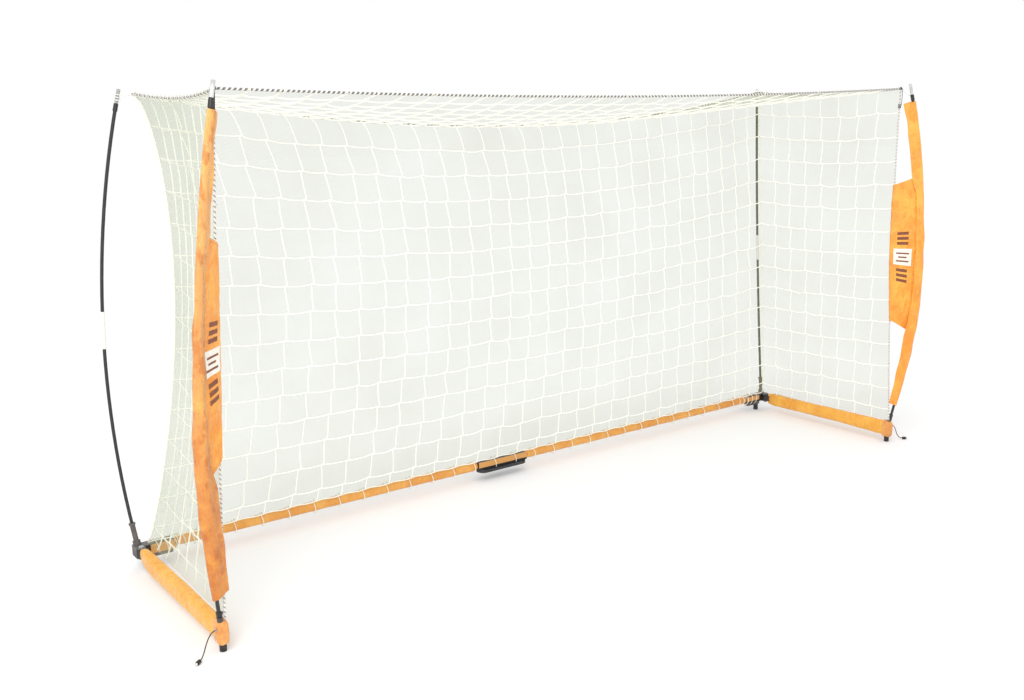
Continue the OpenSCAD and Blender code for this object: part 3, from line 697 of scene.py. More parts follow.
class Panel:
    """A knotted net over a surface: its knots are uneven, and its cords step at each one."""

    def __init__(self, surface, cols, rows, inside):
        self.surface, self.cols, self.rows = surface, cols, rows
        self.inside = np.asarray(inside, float)
        wide, tall = len(cols), len(rows)
        self.du = rng.normal(0, UNEVEN, (tall, wide))
        self.dv = rng.normal(0, UNEVEN * 1.6, (tall, wide))
        for a in (self.du, self.dv):
            a[:, 0] = a[:, -1] = a[0] = a[-1] = 0
        self.bow = rng.normal(0, SAG, (tall, wide, 2))
        self.size = np.linalg.norm(surface(np.array(0.0), np.array(0.5))
                                   - surface(np.array(1.0), np.array(0.5)))

    def knot(self, j, i):
        return self.cols[i] + self.du[j, i], self.rows[j] + self.dv[j, i]

    def at(self, u, v):
        return self.surface(np.asarray(u, float), np.asarray(v, float)) + self.inside * LIFT

    def upright(self, soup, i, j):
        """The stretch of upright cord i between rows j and j + 1."""
        (u0, v0), (u1, v1) = self.knot(j, i), self.knot(j + 1, i)
        f = PARTS
        step = STEP / self.size
        low = step if j > 0 else 0
        high = -step if j + 1 < len(self.rows) - 1 else 0
        u = u0 + (u1 - u0) * f + low * (1 - f) + high * f
        u = u + self.bow[j, i, 0] / self.size * np.sin(np.pi * f)
        soup.tube(self.at(u, v0 + (v1 - v0) * f), CORD_R, 5, hint=self.inside, caps=False)

    def level(self, soup, j, i):
        """The stretch of level cord j between columns i and i + 1. It sags a little."""
        (u0, v0), (u1, v1) = self.knot(j, i), self.knot(j, i + 1)
        f = PARTS
        points = self.at(u0 + (u1 - u0) * f, v0 + (v1 - v0) * f)
        points[:, 2] -= (SAG + abs(self.bow[j, i, 1])) * np.sin(np.pi * f)
        soup.tube(points, CORD_R, 5, hint=self.inside, caps=False)

    def tie(self, soup, j, i):
        u, v = self.knot(j, i)
        across = unit(self.at(u + 0.002, v) - self.at(u - 0.002, v))
        other = unit(np.cross(self.inside, across))
        lean = unit(across + 0.25 * other)
        axes = [lean * KNOT_L, np.cross(lean, self.inside) * KNOT_W, self.inside * KNOT_H]
        soup.blob(self.at(u, v), axes, 4, 6)

    def lining(self, soup, u0, u1, v0, v1, across, tall, mat=1):
        """Part of the fine mesh behind the cords. It bellies out a little in each cell."""
        u, v = np.meshgrid(np.linspace(u0, u1, across + 1), np.linspace(v0, v1, tall + 1))
        points = self.surface(u, v)
        fu = np.interp(u, self.cols, np.arange(len(self.cols)))
        fv = np.interp(v, self.rows, np.arange(len(self.rows)))
        pillow = np.abs(np.sin(np.pi * fu) * np.sin(np.pi * fv))
        points = points - self.inside * (BELLY * pillow)[..., None]
        span = [float(np.linalg.norm(points[0, -1] - points[0, 0])),
                float(np.linalg.norm(points[-1, 0] - points[0, 0]))]
        uv = np.stack([u * self.size, v * NET_H], -1)
        soup.grid(points, uv, mat)
        return span


def cells(panel, soup, cols, rows, last_col=None):
    """Every cord and knot of a block of cells, without the panel's own edges."""
    last_row = len(panel.rows) - 1
    last_col = len(panel.cols) - 1 if last_col is None else last_col
    for j in rows:
        for i in cols:
            if 0 < i < len(panel.cols) - 1:
                panel.upright(soup, i, j)
            if 0 < j < last_row and i < last_col:
                panel.level(soup, j, i)
            if 0 < j < last_row and 0 < i < len(panel.cols) - 1:
                panel.tie(soup, j, i)


# Rear net: one panel on the root
rear_panel = Panel(rear_point, REAR_COLS, ROWS, (0, -1, 0))
soup = Soup()
cells(rear_panel, soup, range(31), range(15))
rear_panel.lining(soup, 0, 1, 0, 1, 90, 56)
rear_net = piece(soup, "rear_net_panel", [M_CORD, M_LINER], "root", ["rear_net"])

# Roof: two halves, one on each side
roof_panel = Panel(roof_point, REAR_COLS, ROOF_ROWS, (0, 0, -1))
soup = Soup()
cells(roof_panel, soup, range(16), range(8), last_col=15)
roof_panel.lining(soup, 0, 0.5, 0, 1, 45, 16)
roof_halves = both(soup, "roof_net_half", [M_CORD, M_LINER], None, ["roof_net"])


def bend_top(pair):
    """Bakes each piece's placement into its mesh."""
    for obj, (side, sign) in zip(pair, SIDES):
        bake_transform(obj)


bend_top(roof_halves)

# Side nets: a strip for each row of cells, but one for the lowest two rows.
side_panel = Panel(side_point, SIDE_COLS, ROWS, (1, 0, 0))
STRIPS = [(0, 2)] + [(j, j + 1) for j in range(2, 15)]
LOW_REACH, BEND_FRONT = 0.20, -0.464
for number, (j0, j1) in enumerate(STRIPS):
    soup = Soup()
    cells(side_panel, soup, range(9), range(j0, j1))
    v0, v1 = ROWS[j0], ROWS[j1]
    wide, tall = side_panel.lining(soup, 0, 1, v0, v1, 24, 4 * (j1 - j0))
    strips = both(soup, f"side_net_{number:02d}", [M_CORD, M_LINER], None,
                  ["{side}_side_net"])
    middle = (v0 + v1) / 2
    rear_y = float(rear_edge(np.array([v0, middle, v1]))[:, 1].min())
    reach = LOW_REACH + (rear_y - BEND_FRONT - LOW_REACH) * smooth((middle - 0.25) / 0.75)
    for obj, (side, _) in zip(strips, SIDES):
        start = (0.0, rear_y, 0.0)
        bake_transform(obj)

# ---------- Ropes ----------

HITCH_THREAD = 0.0014
TOP_ROPE_R, REAR_ROPE_R, SIDE_ROPE_R, CORNER_R = 0.0042, 0.003, 0.0038, 0.0026


def rope_line(edge, t0, t1, count):
    return edge(np.linspace(t0, t1, count))


def wound(path, radius, pitch, thread):
    """A thread wound round a line, as points."""
    path = np.asarray(path, float)
    length = np.concatenate([[0], np.cumsum(np.linalg.norm(np.diff(path, axis=0), axis=1))])
    count = int(length[-1] / pitch * 10)
    s = np.linspace(0, length[-1], count)
    centre = np.stack([np.interp(s, length, path[:, k]) for k in range(3)], 1)
    tangent = unit(np.gradient(centre, axis=0))
    a = unit(np.cross([0.05, 0.1, 1.0] if abs(tangent[:, 2]).mean() < 0.7 else [0, 1, 0], tangent))
    b = np.cross(tangent, a)
    turn = (s / pitch * 2 * np.pi)[:, None]
    return centre + (radius + thread) * (a * np.cos(turn) + b * np.sin(turn))


# Front top rope, in two halves
soup = Soup()
front_half = rope_line(front_top_edge, 0.0, 0.5, 60)
soup.tube(front_half, TOP_ROPE_R, 10, hint=(0, 0, 1))
front_ropes = both(soup, "front_top_rope_half", [M_ROPE], None, ["front_top_rope"])
ties = Soup()
hitches(ties, front_top_edge, REAR_COLS[1:16], 0.0056, HITCH_THREAD)
front_hitches = both(ties, "front_top_hitches", [M_LACE], None)
bend_top(front_ropes)
bend_top(front_hitches)

# Rear top rope, wound with white thread
soup = Soup()
rear_line_top = rope_line(rear_top_edge, 0.0, 1.0, 120)
soup.tube(rear_line_top, REAR_ROPE_R, 8, hint=(0, 0, 1))
piece(soup, "rear_top_rope_line", [M_THIN_ROPE], "root", ["rear_top_rope"])
soup = Soup()
soup.tube(wound(rear_line_top, REAR_ROPE_R, 0.030, 0.0012), 0.0014, 5, hint=(0.9, 0.3, 0.1))
hitches(soup, rear_top_edge, REAR_COLS[1:-1], 0.0062, 0.0018, tilt=0.004)
piece(soup, "rear_top_winding", [M_LACE], "root")

# Side top ropes: two lines side by side, wound together
soup, thread = Soup(), Soup()
line = rope_line(side_top_edge, 0.0, 1.0, 40)
shift = np.array([0.0038, 0, 0.0])
soup.tube(line + shift, REAR_ROPE_R, 8, hint=(0, 0, 1))
soup.tube(line - shift, REAR_ROPE_R, 8, hint=(0, 0, 1), mat=1)
thread.tube(wound(line, 0.0072, 0.040, 0.0008), 0.0010, 5, hint=(0.2, 0.97, 0.1))
tops = both(soup, "side_top_rope_line", [M_ROPE, M_THIN_ROPE], None, ["side_top_ropes"])
threads = both(thread, "side_top_winding", [M_LACE], None)
bend_top(tops)
bend_top(threads)

# Side ropes, beside the front poles
soup, ties = Soup(), Soup()
line = rope_line(front_edge, 0.0, 1.0, 70)
soup.tube(line, SIDE_ROPE_R, 10, hint=(0, 1, 0))
hitches(ties, front_edge, ROWS[1:-1], 0.0052, HITCH_THREAD)
both(soup, "side_rope_line", [M_SIDE_ROPE], "{side}_arm", ["{side}_side_rope"])
both(ties, "side_rope_hitches", [M_LACE], "{side}_arm")

# Corner cords up the rear corners, and the cord along the bottom of the rear net
soup = Soup()
corner = rope_line(rear_edge, 0.0, 1.0, 90)
soup.tube(corner, CORNER_R, 8, hint=(0.7, 0.7, 0))
soup.tube(wound(corner, CORNER_R, 0.034, 0.0010), 0.0012, 5, hint=(0.7, 0.7, 0))
both(soup, "net_corner_cord", [M_LACE], "root")
soup = Soup()
bottom = rope_line(rear_low_edge, 0.0, 1.0, 160)
bottom[:, 2] += 0.0025 * np.sin(np.linspace(0, 30 * 2 * np.pi, 160))
soup.tube(bottom, 0.0028, 8, hint=(0, 0, 1))
piece(soup, "net_bottom_cord", [M_LACE], "root")

# White elastics from the rear tips to the net's corners
TIP_DROP = 0.030  # from a pole's end to its elastic
soup = Soup()
tip_at = rear_arc.point(rear_arc.length - TIP_DROP)
tip_way = rear_arc.direction(rear_arc.length)
way = unit(REAR_CORNER - tip_at)
for lift in (-0.004, 0.004):
    line = curve(
        [tip_at + way * 0.0088 + [0, 0, lift * 2], (tip_at + REAR_CORNER) / 2 + [0, 0, lift],
         REAR_CORNER - way * 0.002], 12,
    )
    soup.tube(line, 0.0022, 7, hint=(0, 1, 0))
for lift in (-0.010, 0.0, 0.010):
    ring = rear_arc.point(rear_arc.length - TIP_DROP + lift)
    soup.tube(loop(ring, tip_way, 0.0090, 20), 0.0020, 6, hint=tip_way, closed=True)
soup.blob(REAR_CORNER, [unit([1, 0, 0.3]) * 0.011, [0, 0.009, 0], [0, 0, 0.009]], 6, 10)
both(soup, "corner_elastic", [M_BUNGEE], "root", ["rear_bungees"])

# Black webbing from the front corners down beside the rope, and a pale elastic on to the pole
rope_top = front_edge(np.array([0.97, 0.955, 0.945]))
WEB_HALF_W, WEB_HALF_T = 0.0062, 0.0011
strap_line = curve(
    [
        FRONT_CORNER + [0.002, 0.0, 0.006],
        FRONT_CORNER + [-0.005, -0.007, -0.004],
        rope_top[0] + [-0.005, -0.008, 0.0],
        rope_top[1] + [-0.004, -0.007, 0.0],
        rope_top[2] + [-0.002, -0.004, 0.0],
    ],
    26,
)
ribbon = Soup()
tangent = unit(np.gradient(strap_line, axis=0))
across = unit(np.cross(tangent, [0.5, 0.85, 0.1]))
normal = np.cross(across, tangent)
outline = rounded_section(WEB_HALF_W, WEB_HALF_T, 5.0, 12)
web = strap_line[:, None] + across[:, None] * outline[:, :1] + normal[:, None] * outline[:, 1:]
ribbon.grid(web, wrap=True, flip=True)
hitches(ribbon, front_edge, (0.955, 0.951, 0.947), 0.0062, 0.0018, tilt=0.0, count=14, sides=6)
pull = Soup()
collar_at = front_arc.point(front_arc.length - 0.066)
pull_way = unit(FRONT_CORNER - collar_at)
pull.tube(curve([collar_at + pull_way * 0.009, (collar_at + FRONT_CORNER) / 2 + [0, 0, -0.001],
                 FRONT_CORNER - pull_way * 0.004], 10), 0.0019, 7, hint=(0, 0, 1))
both(pull, "front_corner_elastic", [M_BUNGEE], "{side}_arm")
ribbon.blob(FRONT_CORNER, [unit([1, 0.1, 0.0]) * 0.009, [0, 0.006, 0], [0, 0, 0.007]], 6, 10)
both(ribbon, "corner_strap", [M_BLACK_WEB], "{side}_arm", ["{side}_strap"])

# ---------- Padded covers ----------

VOXEL = 0.006
CLOTH_FRAMES = 20


def swollen(soup, name, pressure, cap, pinned):
    """Cloth pressed out from inside, by cap at most, and held where pinned says."""
    obj = soup.build(name, [])
    bpy.context.view_layer.objects.active = obj
    mod = obj.modifiers.new("even", "REMESH")
    mod.mode, mod.voxel_size = "VOXEL", VOXEL
    bpy.ops.object.modifier_apply(modifier=mod.name)
    rest = np.array([v.co for v in obj.data.vertices], float)
    group = obj.vertex_groups.new(name="held")
    weights = pinned(rest)
    for index in np.nonzero(weights > 0.02)[0]:
        group.add([int(index)], float(weights[index]), "REPLACE")
    cloth = obj.modifiers.new("cloth", "CLOTH")
    cloth.settings.use_pressure = True
    cloth.settings.uniform_pressure_force = pressure
    cloth.settings.effector_weights.gravity = 0
    cloth.settings.vertex_group_mass = "held"
    cloth.settings.tension_stiffness = 12
    cloth.settings.compression_stiffness = 12
    cloth.settings.bending_stiffness = 0.4
    cloth.settings.quality = 6
    cloth.collision_settings.use_collision = False
    cloth.point_cache.frame_start, cloth.point_cache.frame_end = 1, CLOTH_FRAMES
    scene = bpy.context.scene
    for number in range(1, CLOTH_FRAMES + 1):
        scene.frame_set(number)
    shaped = obj.evaluated_get(bpy.context.evaluated_depsgraph_get())
    moved = np.array([v.co for v in shaped.data.vertices], float) - rest
    obj.modifiers.remove(cloth)
    scene.frame_set(1)
    far = np.linalg.norm(moved, axis=1, keepdims=True)
    moved *= np.minimum(1, cap / np.maximum(far, 1e-9))
    obj.data.vertices.foreach_set("co", (rest + moved).astype(np.float32).ravel())
    return obj


def finish_cover(obj, material, crease, crease_scale, seed, stretch):
    """Creases in the cloth, one subdivision, smooth faces and its material."""
    bpy.context.view_layer.objects.active = obj
    even = obj.modifiers.new("even_out", "SMOOTH")
    even.factor, even.iterations = 0.5, 10
    bpy.ops.object.modifier_apply(modifier=even.name)
    sub = obj.modifiers.new("finer", "SUBSURF")
    sub.levels = sub.render_levels = 1
    bpy.ops.object.modifier_apply(modifier=sub.name)
    mesh = obj.data
    co = np.array([v.co for v in mesh.vertices], float)
    normal = np.array([v.normal for v in mesh.vertices], float)
    fold = cloud(co * np.array(stretch), crease_scale, seed)
    small = cloud(co * np.array(stretch), crease_scale * 2.7, seed + 5)
    co += normal * (crease * fold + 0.35 * crease * small)[:, None]
    mesh.vertices.foreach_set("co", co.astype(np.float32).ravel())
    mesh.polygons.foreach_set("use_smooth", [True] * len(mesh.polygons))
    mesh.materials.append(material)
    mesh.update()


def mirrored_copy(obj, name):
    mesh = obj.data.copy()
    mesh.transform(Matrix.Scale(-1, 4, Vector((1, 0, 0))))
    mesh.flip_normals()
    mesh.name = name
    other = bpy.data.objects.new(name, mesh)
    bpy.context.scene.collection.objects.link(other)
    return other


def fan(soup, ring, order):
    """Closes a ring with triangles to its middle. order is 1 or -1, the way that they turn."""
    count = len(ring)
    triangles = [[k, (k + 1) % count, count][::order] for k in range(count)]
    soup.add(np.concatenate([ring, [ring.mean(0)]]), triangles, np.zeros((count, 3, 2)))


def closed_loft(soup, rings):
    """Rings along a line, closed at both ends."""
    rings = np.asarray(rings, float)
    soup.grid(rings, wrap=True)
    fan(soup, rings[0], -1)
    fan(soup, rings[-1], 1)


# Arm covers: boxy padded sleeves that narrow towards the hinge
ARM_START, ARM_END = -0.405, 0.379
ARM_HALF_W, ARM_HALF_H = 0.0195, 0.0400
ring_list = []
for y in np.linspace(ARM_START, ARM_END, 60):
    f = (y - ARM_START) / (ARM_END - ARM_START)
    narrow = 1 - 0.22 * smooth((f - 0.88) / 0.12)
    tall = 1 - 0.03 * smooth((f - 0.60) / 0.32) - 0.20 * smooth((f - 0.94) / 0.06)
    sec = rounded_section(ARM_HALF_W * narrow, ARM_HALF_H * tall, 4.0)
    drop = -0.003 * smooth(f)
    ring_list.append(
        np.stack([-ARM_X + sec[:, 0], np.full(len(sec), y), BAR_H + drop + sec[:, 1]], -1)
    )
soup = Soup()
closed_loft(soup, ring_list)


def arm_hold(p):
    ends = np.maximum(smooth((ARM_START + 0.012 - p[:, 1]) / 0.01),
                      smooth((p[:, 1] - ARM_END + 0.012) / 0.01))
    seam = smooth(1 - np.abs(p[:, 2] - BAR_H - 0.030) / 0.006) * (p[:, 0] > -ARM_X + 0.010)
    return np.maximum(ends, 0.85 * seam)


arm_cover = swollen(soup, "left_arm_cover", pressure=3.0, cap=0.006, pinned=arm_hold)
finish_cover(arm_cover, M_ARM, crease=0.0016, crease_scale=24.0, seed=3.0, stretch=(1, 0.55, 1))
covers = [arm_cover, mirrored_copy(arm_cover, "right_arm_cover")]
for obj, (side, sign) in zip(covers, SIDES):
    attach(obj, f"{side}_arm")
    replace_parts(obj, f"{side}_arm_sleeve")

# End caps: gathered pouches over the front ends
CAP_BACK, CAP_FRONT = -0.398, -0.441
CAP_HALF_W, CAP_HALF_H, CAP_SIDES = 0.0215, 0.0440, 72
CREASE_DEPTH, CREASE_W = 0.0035, 0.010
turns = np.linspace(0, 2 * np.pi, CAP_SIDES, endpoint=False)
rings = []
for t in np.linspace(0, 1, 30):
    y = CAP_BACK + (CAP_FRONT - CAP_BACK) * math.sin(t * math.pi / 2)
    swell = max((1 - (max(t - 0.04, 0) / 0.96) ** 4.0) ** 0.5, 0.06)
    sec = rounded_section(CAP_HALF_W * swell, CAP_HALF_H * swell, 3.4, CAP_SIDES)
    gather = 1 + 0.035 * smooth((t - 0.35) / 0.5) * np.cos(turns * 12 + 0.6 * np.sin(turns * 3))
    gather = gather * (1 + 0.02 * np.cos(turns * 19 + 1.3) * smooth((t - 0.2) / 0.5))
    sec = sec * gather[:, None]
    off_crease = np.abs(sec[:, 1] * 0.7 + sec[:, 0] * 1.2)
    fold = CREASE_DEPTH * smooth(1 - off_crease / CREASE_W) * smooth((t - 0.5) / 0.4)
    z = BAR_H - 0.002 + sec[:, 1] - 0.003 * smooth(t)
    rings.append(np.stack([-ARM_X + sec[:, 0] - 0.001, np.full(CAP_SIDES, y) - fold, z], -1))
soup = Soup()
soup.grid(rings[::-1], wrap=True)
fan(soup, rings[-1], -1)
lip = np.array(rings[0])
lip_in = (lip - [-ARM_X, 0, BAR_H]) * [0.86, 1, 0.90] + [-ARM_X, 0, BAR_H] + [0, 0.003, 0]
soup.grid([lip, lip_in], wrap=True)
both(soup, "arm_end_cap", [M_CAP], "{side}_arm")

# Rear bar covers: laced, so each stretch between two laces bulges a little
BAR_R = 0.0220
BAR_LIFT = 0.003
BAR_END = 0.140  # from an arm's centre line
LACE_R = 0.0017
LACE_ON_COVER, LACE_ON_STEEL = 0.0274, 0.0284


def bar_cover(name, x0, x1, laces):
    lines = np.linspace(x0, x1, int((x1 - x0) / 0.012))
    turn = np.linspace(0, 2 * np.pi, 28, endpoint=False)
    rings = [
        np.stack([np.full(28, x), REAR_Y + BAR_R * np.cos(turn) * (1 - 0.10 * e),
                  BAR_H + BAR_LIFT + BAR_R * np.sin(turn) * (1 - 0.10 * e)], -1)
        for x in lines
        for e in [float(smooth(1 - min(x - x0, x1 - x) / 0.02))]
    ]
    soup = Soup()
    closed_loft(soup, np.array(rings)[::-1])

    def hold(p):
        near = np.abs(p[:, 0][:, None] - laces[None]).min(1)
        ends = np.minimum(p[:, 0] - x0, x1 - p[:, 0])
        return np.maximum(smooth(1 - near / 0.007), smooth(1 - ends / 0.010))

    obj = swollen(soup, name, pressure=2.5, cap=0.0028, pinned=hold)
    finish_cover(obj, M_BAR_COVER, crease=0.0012, crease_scale=26.0, seed=9.0, stretch=(0.5, 1, 1))
    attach(obj, "root")
    return obj


lace_x = rear_low_edge(REAR_COLS)[:, 0]
LEFT_BAR = (-ARM_X + BAR_END, CENTRE_X - CENTRE_GAP / 2 - 0.001)
RIGHT_BAR = (CENTRE_X + CENTRE_GAP / 2 + 0.001, ARM_X - BAR_END)
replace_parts(bar_cover("rear_cover_left", *LEFT_BAR, lace_x), "rear_sleeve_left")
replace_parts(bar_cover("rear_cover_right", *RIGHT_BAR, lace_x), "rear_sleeve_right")

# Lacing: a hook at each upright cord, from the bottom cord over the front of the cover and back up


def round_bar(x, radius, degrees):
    """Points round the rear bar; degrees run from the back over the top to the front."""
    turn = np.radians(np.asarray(degrees, float))
    return np.stack([x, REAR_Y + radius * np.cos(turn), BAR_H + radius * np.sin(turn)], -1)


soup = Soup()
for x in lace_x[1:-1]:
    on_cover = LEFT_BAR[0] < x < LEFT_BAR[1] or RIGHT_BAR[0] < x < RIGHT_BAR[1]
    reach = LACE_ON_COVER if on_cover else LACE_ON_STEEL
    share = np.linspace(0, 1, 7)
    front = round_bar(x + 0.010 * share**2, reach, [112, 135, 160, 185, 210, 235, 255])
    behind = round_bar(x + 0.010 - 0.012 * share, reach, [255, 290, 330, 10, 50, 90, 108])
    knot = np.array([x, REAR_FOOT_CORNER[1], REAR_FOOT_CORNER[2] + 0.001])
    down = [knot + [-0.004, 0.0, 0.004], knot + [-0.001, 0.010, 0.006], *front]
    upward = [*behind, knot + [-0.006, 0.004, 0.008]]
    soup.tube(curve(down, 30), LACE_R, 6, hint=(1, 0, 0.02))
    soup.tube(curve(upward, 26), LACE_R, 6, hint=(1, 0, 0.02))
piece(soup, "rear_lacing_hooks", [M_LACE], "root", ["rear_lacing"])

# The spiral lacing at each rear corner
soup = Soup()
SPIRAL_R, SPIRAL_START, SPIRAL_STEP = 0.0285, 0.062, 0.036
for number in range(5):
    x = -ARM_X + SPIRAL_START + SPIRAL_STEP * (number + np.linspace(0, 1, 22))
    soup.tube(round_bar(x, SPIRAL_R, np.linspace(100, 460, 22)), 0.0018, 6, hint=(1, 0, 0.02))
both(soup, "corner_lacing", [M_LACE], "root")

# ---------- Pole covers: a loose tube of cloth, and its flap -------------------------------

SLEEVE_LOW, SLEEVE_HIGH = 0.135, front_arc.length - 0.087
FLAP_LOW, FLAP_HIGH = 0.532, 1.332


def rope_beside(s):
    z = front_arc.point(s)[..., 2]
    share = (z - FRONT_FOOT_CORNER[2]) / (FRONT_CORNER[2] - FRONT_FOOT_CORNER[2])
    return front_edge(share)


def cover_frame(s):
    """The pole's centre at s, the ways to the rope and out of the goal, and the rope's distance."""
    centre = front_arc.point(s)
    along = front_arc.direction(s)
    to_rope = rope_beside(s) - centre
    distance = np.linalg.norm(to_rope, axis=-1)
    to_rope = unit(to_rope - along * (to_rope * along).sum(-1, keepdims=True))
    return centre, to_rope, unit(np.cross(along, to_rope)), distance


# The cloth hugs the pole's outer side, and its spare width hangs on the rope's side.
# Widths in metres and the spare width's heading in degrees, at distances along the pole.
SPARE_AT = [0.135, 0.30, 0.52, 0.62, 1.25, 1.34, 1.60, SLEEVE_HIGH]
SPARE = [0.044, 0.052, 0.048, 0.030, 0.026, 0.046, 0.042, 0.048]
HUG_AT = [0.135, 0.20, 0.33, 0.50, 0.62, 0.77, 0.90, 1.15, SLEEVE_HIGH]
HUG = [0.0150, 0.0170, 0.0215, 0.0270, 0.0260, 0.0240, 0.0190, 0.0140, 0.0130]
TURN_AT = [0.135, 0.50, 1.30, SLEEVE_HIGH]
TURN = [4.0, 8.0, 30.0, 40.0]

s_lines = np.linspace(SLEEVE_LOW, SLEEVE_HIGH, 200)
turn = np.linspace(0, 2 * np.pi, 48, endpoint=False)
centre = front_arc.point(s_lines)
along = front_arc.direction(s_lines)
heading = np.radians(np.interp(s_lines, TURN_AT, TURN))
spare_way = np.stack([np.cos(heading), np.sin(heading), 0 * heading], -1)
spare_way = unit(spare_way - along * (spare_way * along).sum(-1, keepdims=True))
side_way = np.cross(along, spare_way)
spare = np.interp(s_lines, SPARE_AT, SPARE)[:, None]
hug = np.interp(s_lines, HUG_AT, HUG)[:, None]
x = (spare - hug) / 2 + (spare + hug) / 2 * np.cos(turn)[None]
thick = hug * 0.92 + (0.0042 - hug * 0.92) * smooth(x / spare)
waver = 0.004 * smooth(x / spare) * cloud(
    np.stack([0 * s_lines, 0 * s_lines, s_lines * 9.0], -1), 1.0, 12.0)[:, None]
y = np.sin(turn)[None] * thick + waver
points = centre[:, None] + spare_way[:, None] * x[..., None] + side_way[:, None] * y[..., None]
end = smooth(1 - (s_lines - SLEEVE_LOW) / 0.07)
tilt = 0.008 * np.cos(turn)[None] * end[:, None]
points = points + along[:, None] * tilt[..., None]
radial = unit(points - centre[:, None] - spare_way[:, None] * ((spare - hug) / 2)[..., None])
folds = cloud(points * np.array([1, 1, 0.42]), 30.0, 2.0)
slanted = cloud(np.stack([points[..., 2] * 11 + x * 45, x * 10, y * 10], -1), 1.0, 8.0)
spread = smooth((hug - 0.0125) / 0.006 + 0.25 + 0.75 * (x > 0))
points = points + radial * ((0.0026 * folds + 0.0042 * slanted) * spread)[..., None]
soup = Soup()
soup.grid(points, wrap=True)
lighter = np.cos(turn + np.pi / len(turn)) > 0.42
soup.mats = [int(lighter[k] and s > 1.28) for s in s_lines[:-1] for k in range(len(turn))]
middle_line = centre[:, None] + spare_way[:, None] * ((spare - hug) / 2)[..., None]
inner = middle_line + (points - middle_line) * 0.90
soup.grid(inner[[0, 1, 2, 3]], wrap=True, flip=True)
soup.grid(np.array([inner[0], points[0]]), wrap=True)
soup.grid(inner[[-4, -3, -2, -1]], wrap=True, flip=True)
soup.grid(np.array([points[-1], inner[-1]]), wrap=True)
pole_covers = both(soup, "pole_cover", [M_POLE_COVER, M_FLAP], "{side}_arm",
                   ["{side}_pole_sleeve"])
# The right cover is made of the flap's cloth, a lighter orange than the left cover's, so no seam
# shows between them
pole_covers[1].data.materials[0] = M_FLAP

# Flap, hemmed all round: it leaves the cover, passes outside the rope and turns round it
f_s = np.linspace(FLAP_LOW, FLAP_HIGH, 100)
centre, inward, outward, distance = cover_frame(f_s)
f_u = np.linspace(0, 1, 22)
ROPE_TURN = 0.0095
NEAR = 0.008
AT_ROPE = 0.80  # the share of the flap's width that reaches the rope; the rest turns round it
way = np.clip(f_u / AT_ROPE, 0, 1)
curl = np.radians(np.clip((f_u - AT_ROPE) / (1 - AT_ROPE), 0, 1) * 115.0)
reach = NEAR + (distance - NEAR)[:, None] * way[None] + ROPE_TURN * np.sin(curl)[None]
depth = ROPE_TURN * (smooth(way) * np.cos(curl))[None]
slant = (f_s - FLAP_LOW) / (FLAP_HIGH - FLAP_LOW)
base = centre[:, None] + inward[:, None] * reach[..., None] - outward[:, None] * depth[..., None]
lift_edge = (0.050 * (1 - slant) - 0.027 * slant)[:, None] * way[None]
base = base + front_arc.direction(f_s)[:, None] * lift_edge[..., None]
free = np.sin(np.pi * way) ** 0.7
ripple = 0.0030 * np.sin(slant * 17)[:, None] * free[None]
ripple = ripple + 0.0045 * cloud(base, 11.0, 4.0) * free[None] + 0.0015 * cloud(base, 34.0, 9.0)
rim = np.maximum(np.maximum(smooth(1 - slant / 0.012), smooth((slant - 0.988) / 0.012))[:, None],
                 smooth((f_u - 0.94) / 0.05)[None])
puff = 0.0022 - 0.0012 * rim
turned = curl[None, :, None]
face_way = inward[:, None] * np.sin(turned) - outward[:, None] * np.cos(turned)
outer_face = base - face_way * (ripple + puff)[..., None]
inner_face = base - face_way * (ripple - puff)[..., None]
soup = Soup()
soup.grid(outer_face)
soup.grid(inner_face, flip=True)
soup.rim(outer_face, inner_face, flipped=(0, 3))
both(soup, "pole_flap_cloth", [M_FLAP], "{side}_arm", ["{side}_pole_flap"])

# Patch and printed bars on the flap's outside; plain shapes and no words


def on_flap(s, u, lift):
    """A point on the flap's front face, lift above it."""
    si = np.interp(s, f_s, np.arange(len(f_s)))
    ui = np.asarray(u, float) * (len(f_u) - 1)
    face = inner_face
    i0 = np.clip(np.floor(si).astype(int), 0, len(f_s) - 2)
    k0 = np.clip(np.floor(ui).astype(int), 0, len(f_u) - 2)
    a, b = (si - i0)[..., None], (ui - k0)[..., None]
    p = (face[i0, k0] * (1 - a) * (1 - b) + face[i0 + 1, k0] * a * (1 - b)
         + face[i0, k0 + 1] * (1 - a) * b + face[i0 + 1, k0 + 1] * a * b)
    return p + face_way[i0, k0] * lift


def flap_plate(soup, s0, s1, u0, u1, height, mat, steps=8):
    s, u = np.meshgrid(np.linspace(s0, s1, steps), np.linspace(u0, u1, steps), indexing="ij")
    top, low = on_flap(s, u, height), on_flap(s, u, 0.0001)
    soup.grid(top, mat=mat, flip=True)
    soup.rim(top, low, mat)


soup = Soup()
flap_plate(soup, 0.871, 0.963, 0.20, 0.76, 0.0011, 0)
for k, (u0, u1) in enumerate(((0.28, 0.68), (0.35, 0.61), (0.28, 0.68))):
    flap_plate(soup, 0.889 + 0.022 * k, 0.897 + 0.022 * k, u0, u1, 0.0016, 1, 5)
for start in (0.985, 1.013, 1.041, 0.778, 0.806, 0.834):
    flap_plate(soup, start, start + 0.016, 0.32, 0.66, 0.0007, 1, 5)
both(soup, "flap_patch", [M_PATCH, M_PRINT], "{side}_arm")

# Stitching along the flap's hems
STITCH_R, STITCH_LIFT, HEM = 0.0007, 0.0006, 0.90


def flap_stitch(soup, start, end, hint):
    """A stitch between two places on the flap, each as its s and u."""
    a, b = (on_flap(np.array(s), np.array(u), STITCH_LIFT) for s, u in (start, end))
    soup.tube([a, (a + b) / 2, b], STITCH_R, 4, hint=hint)


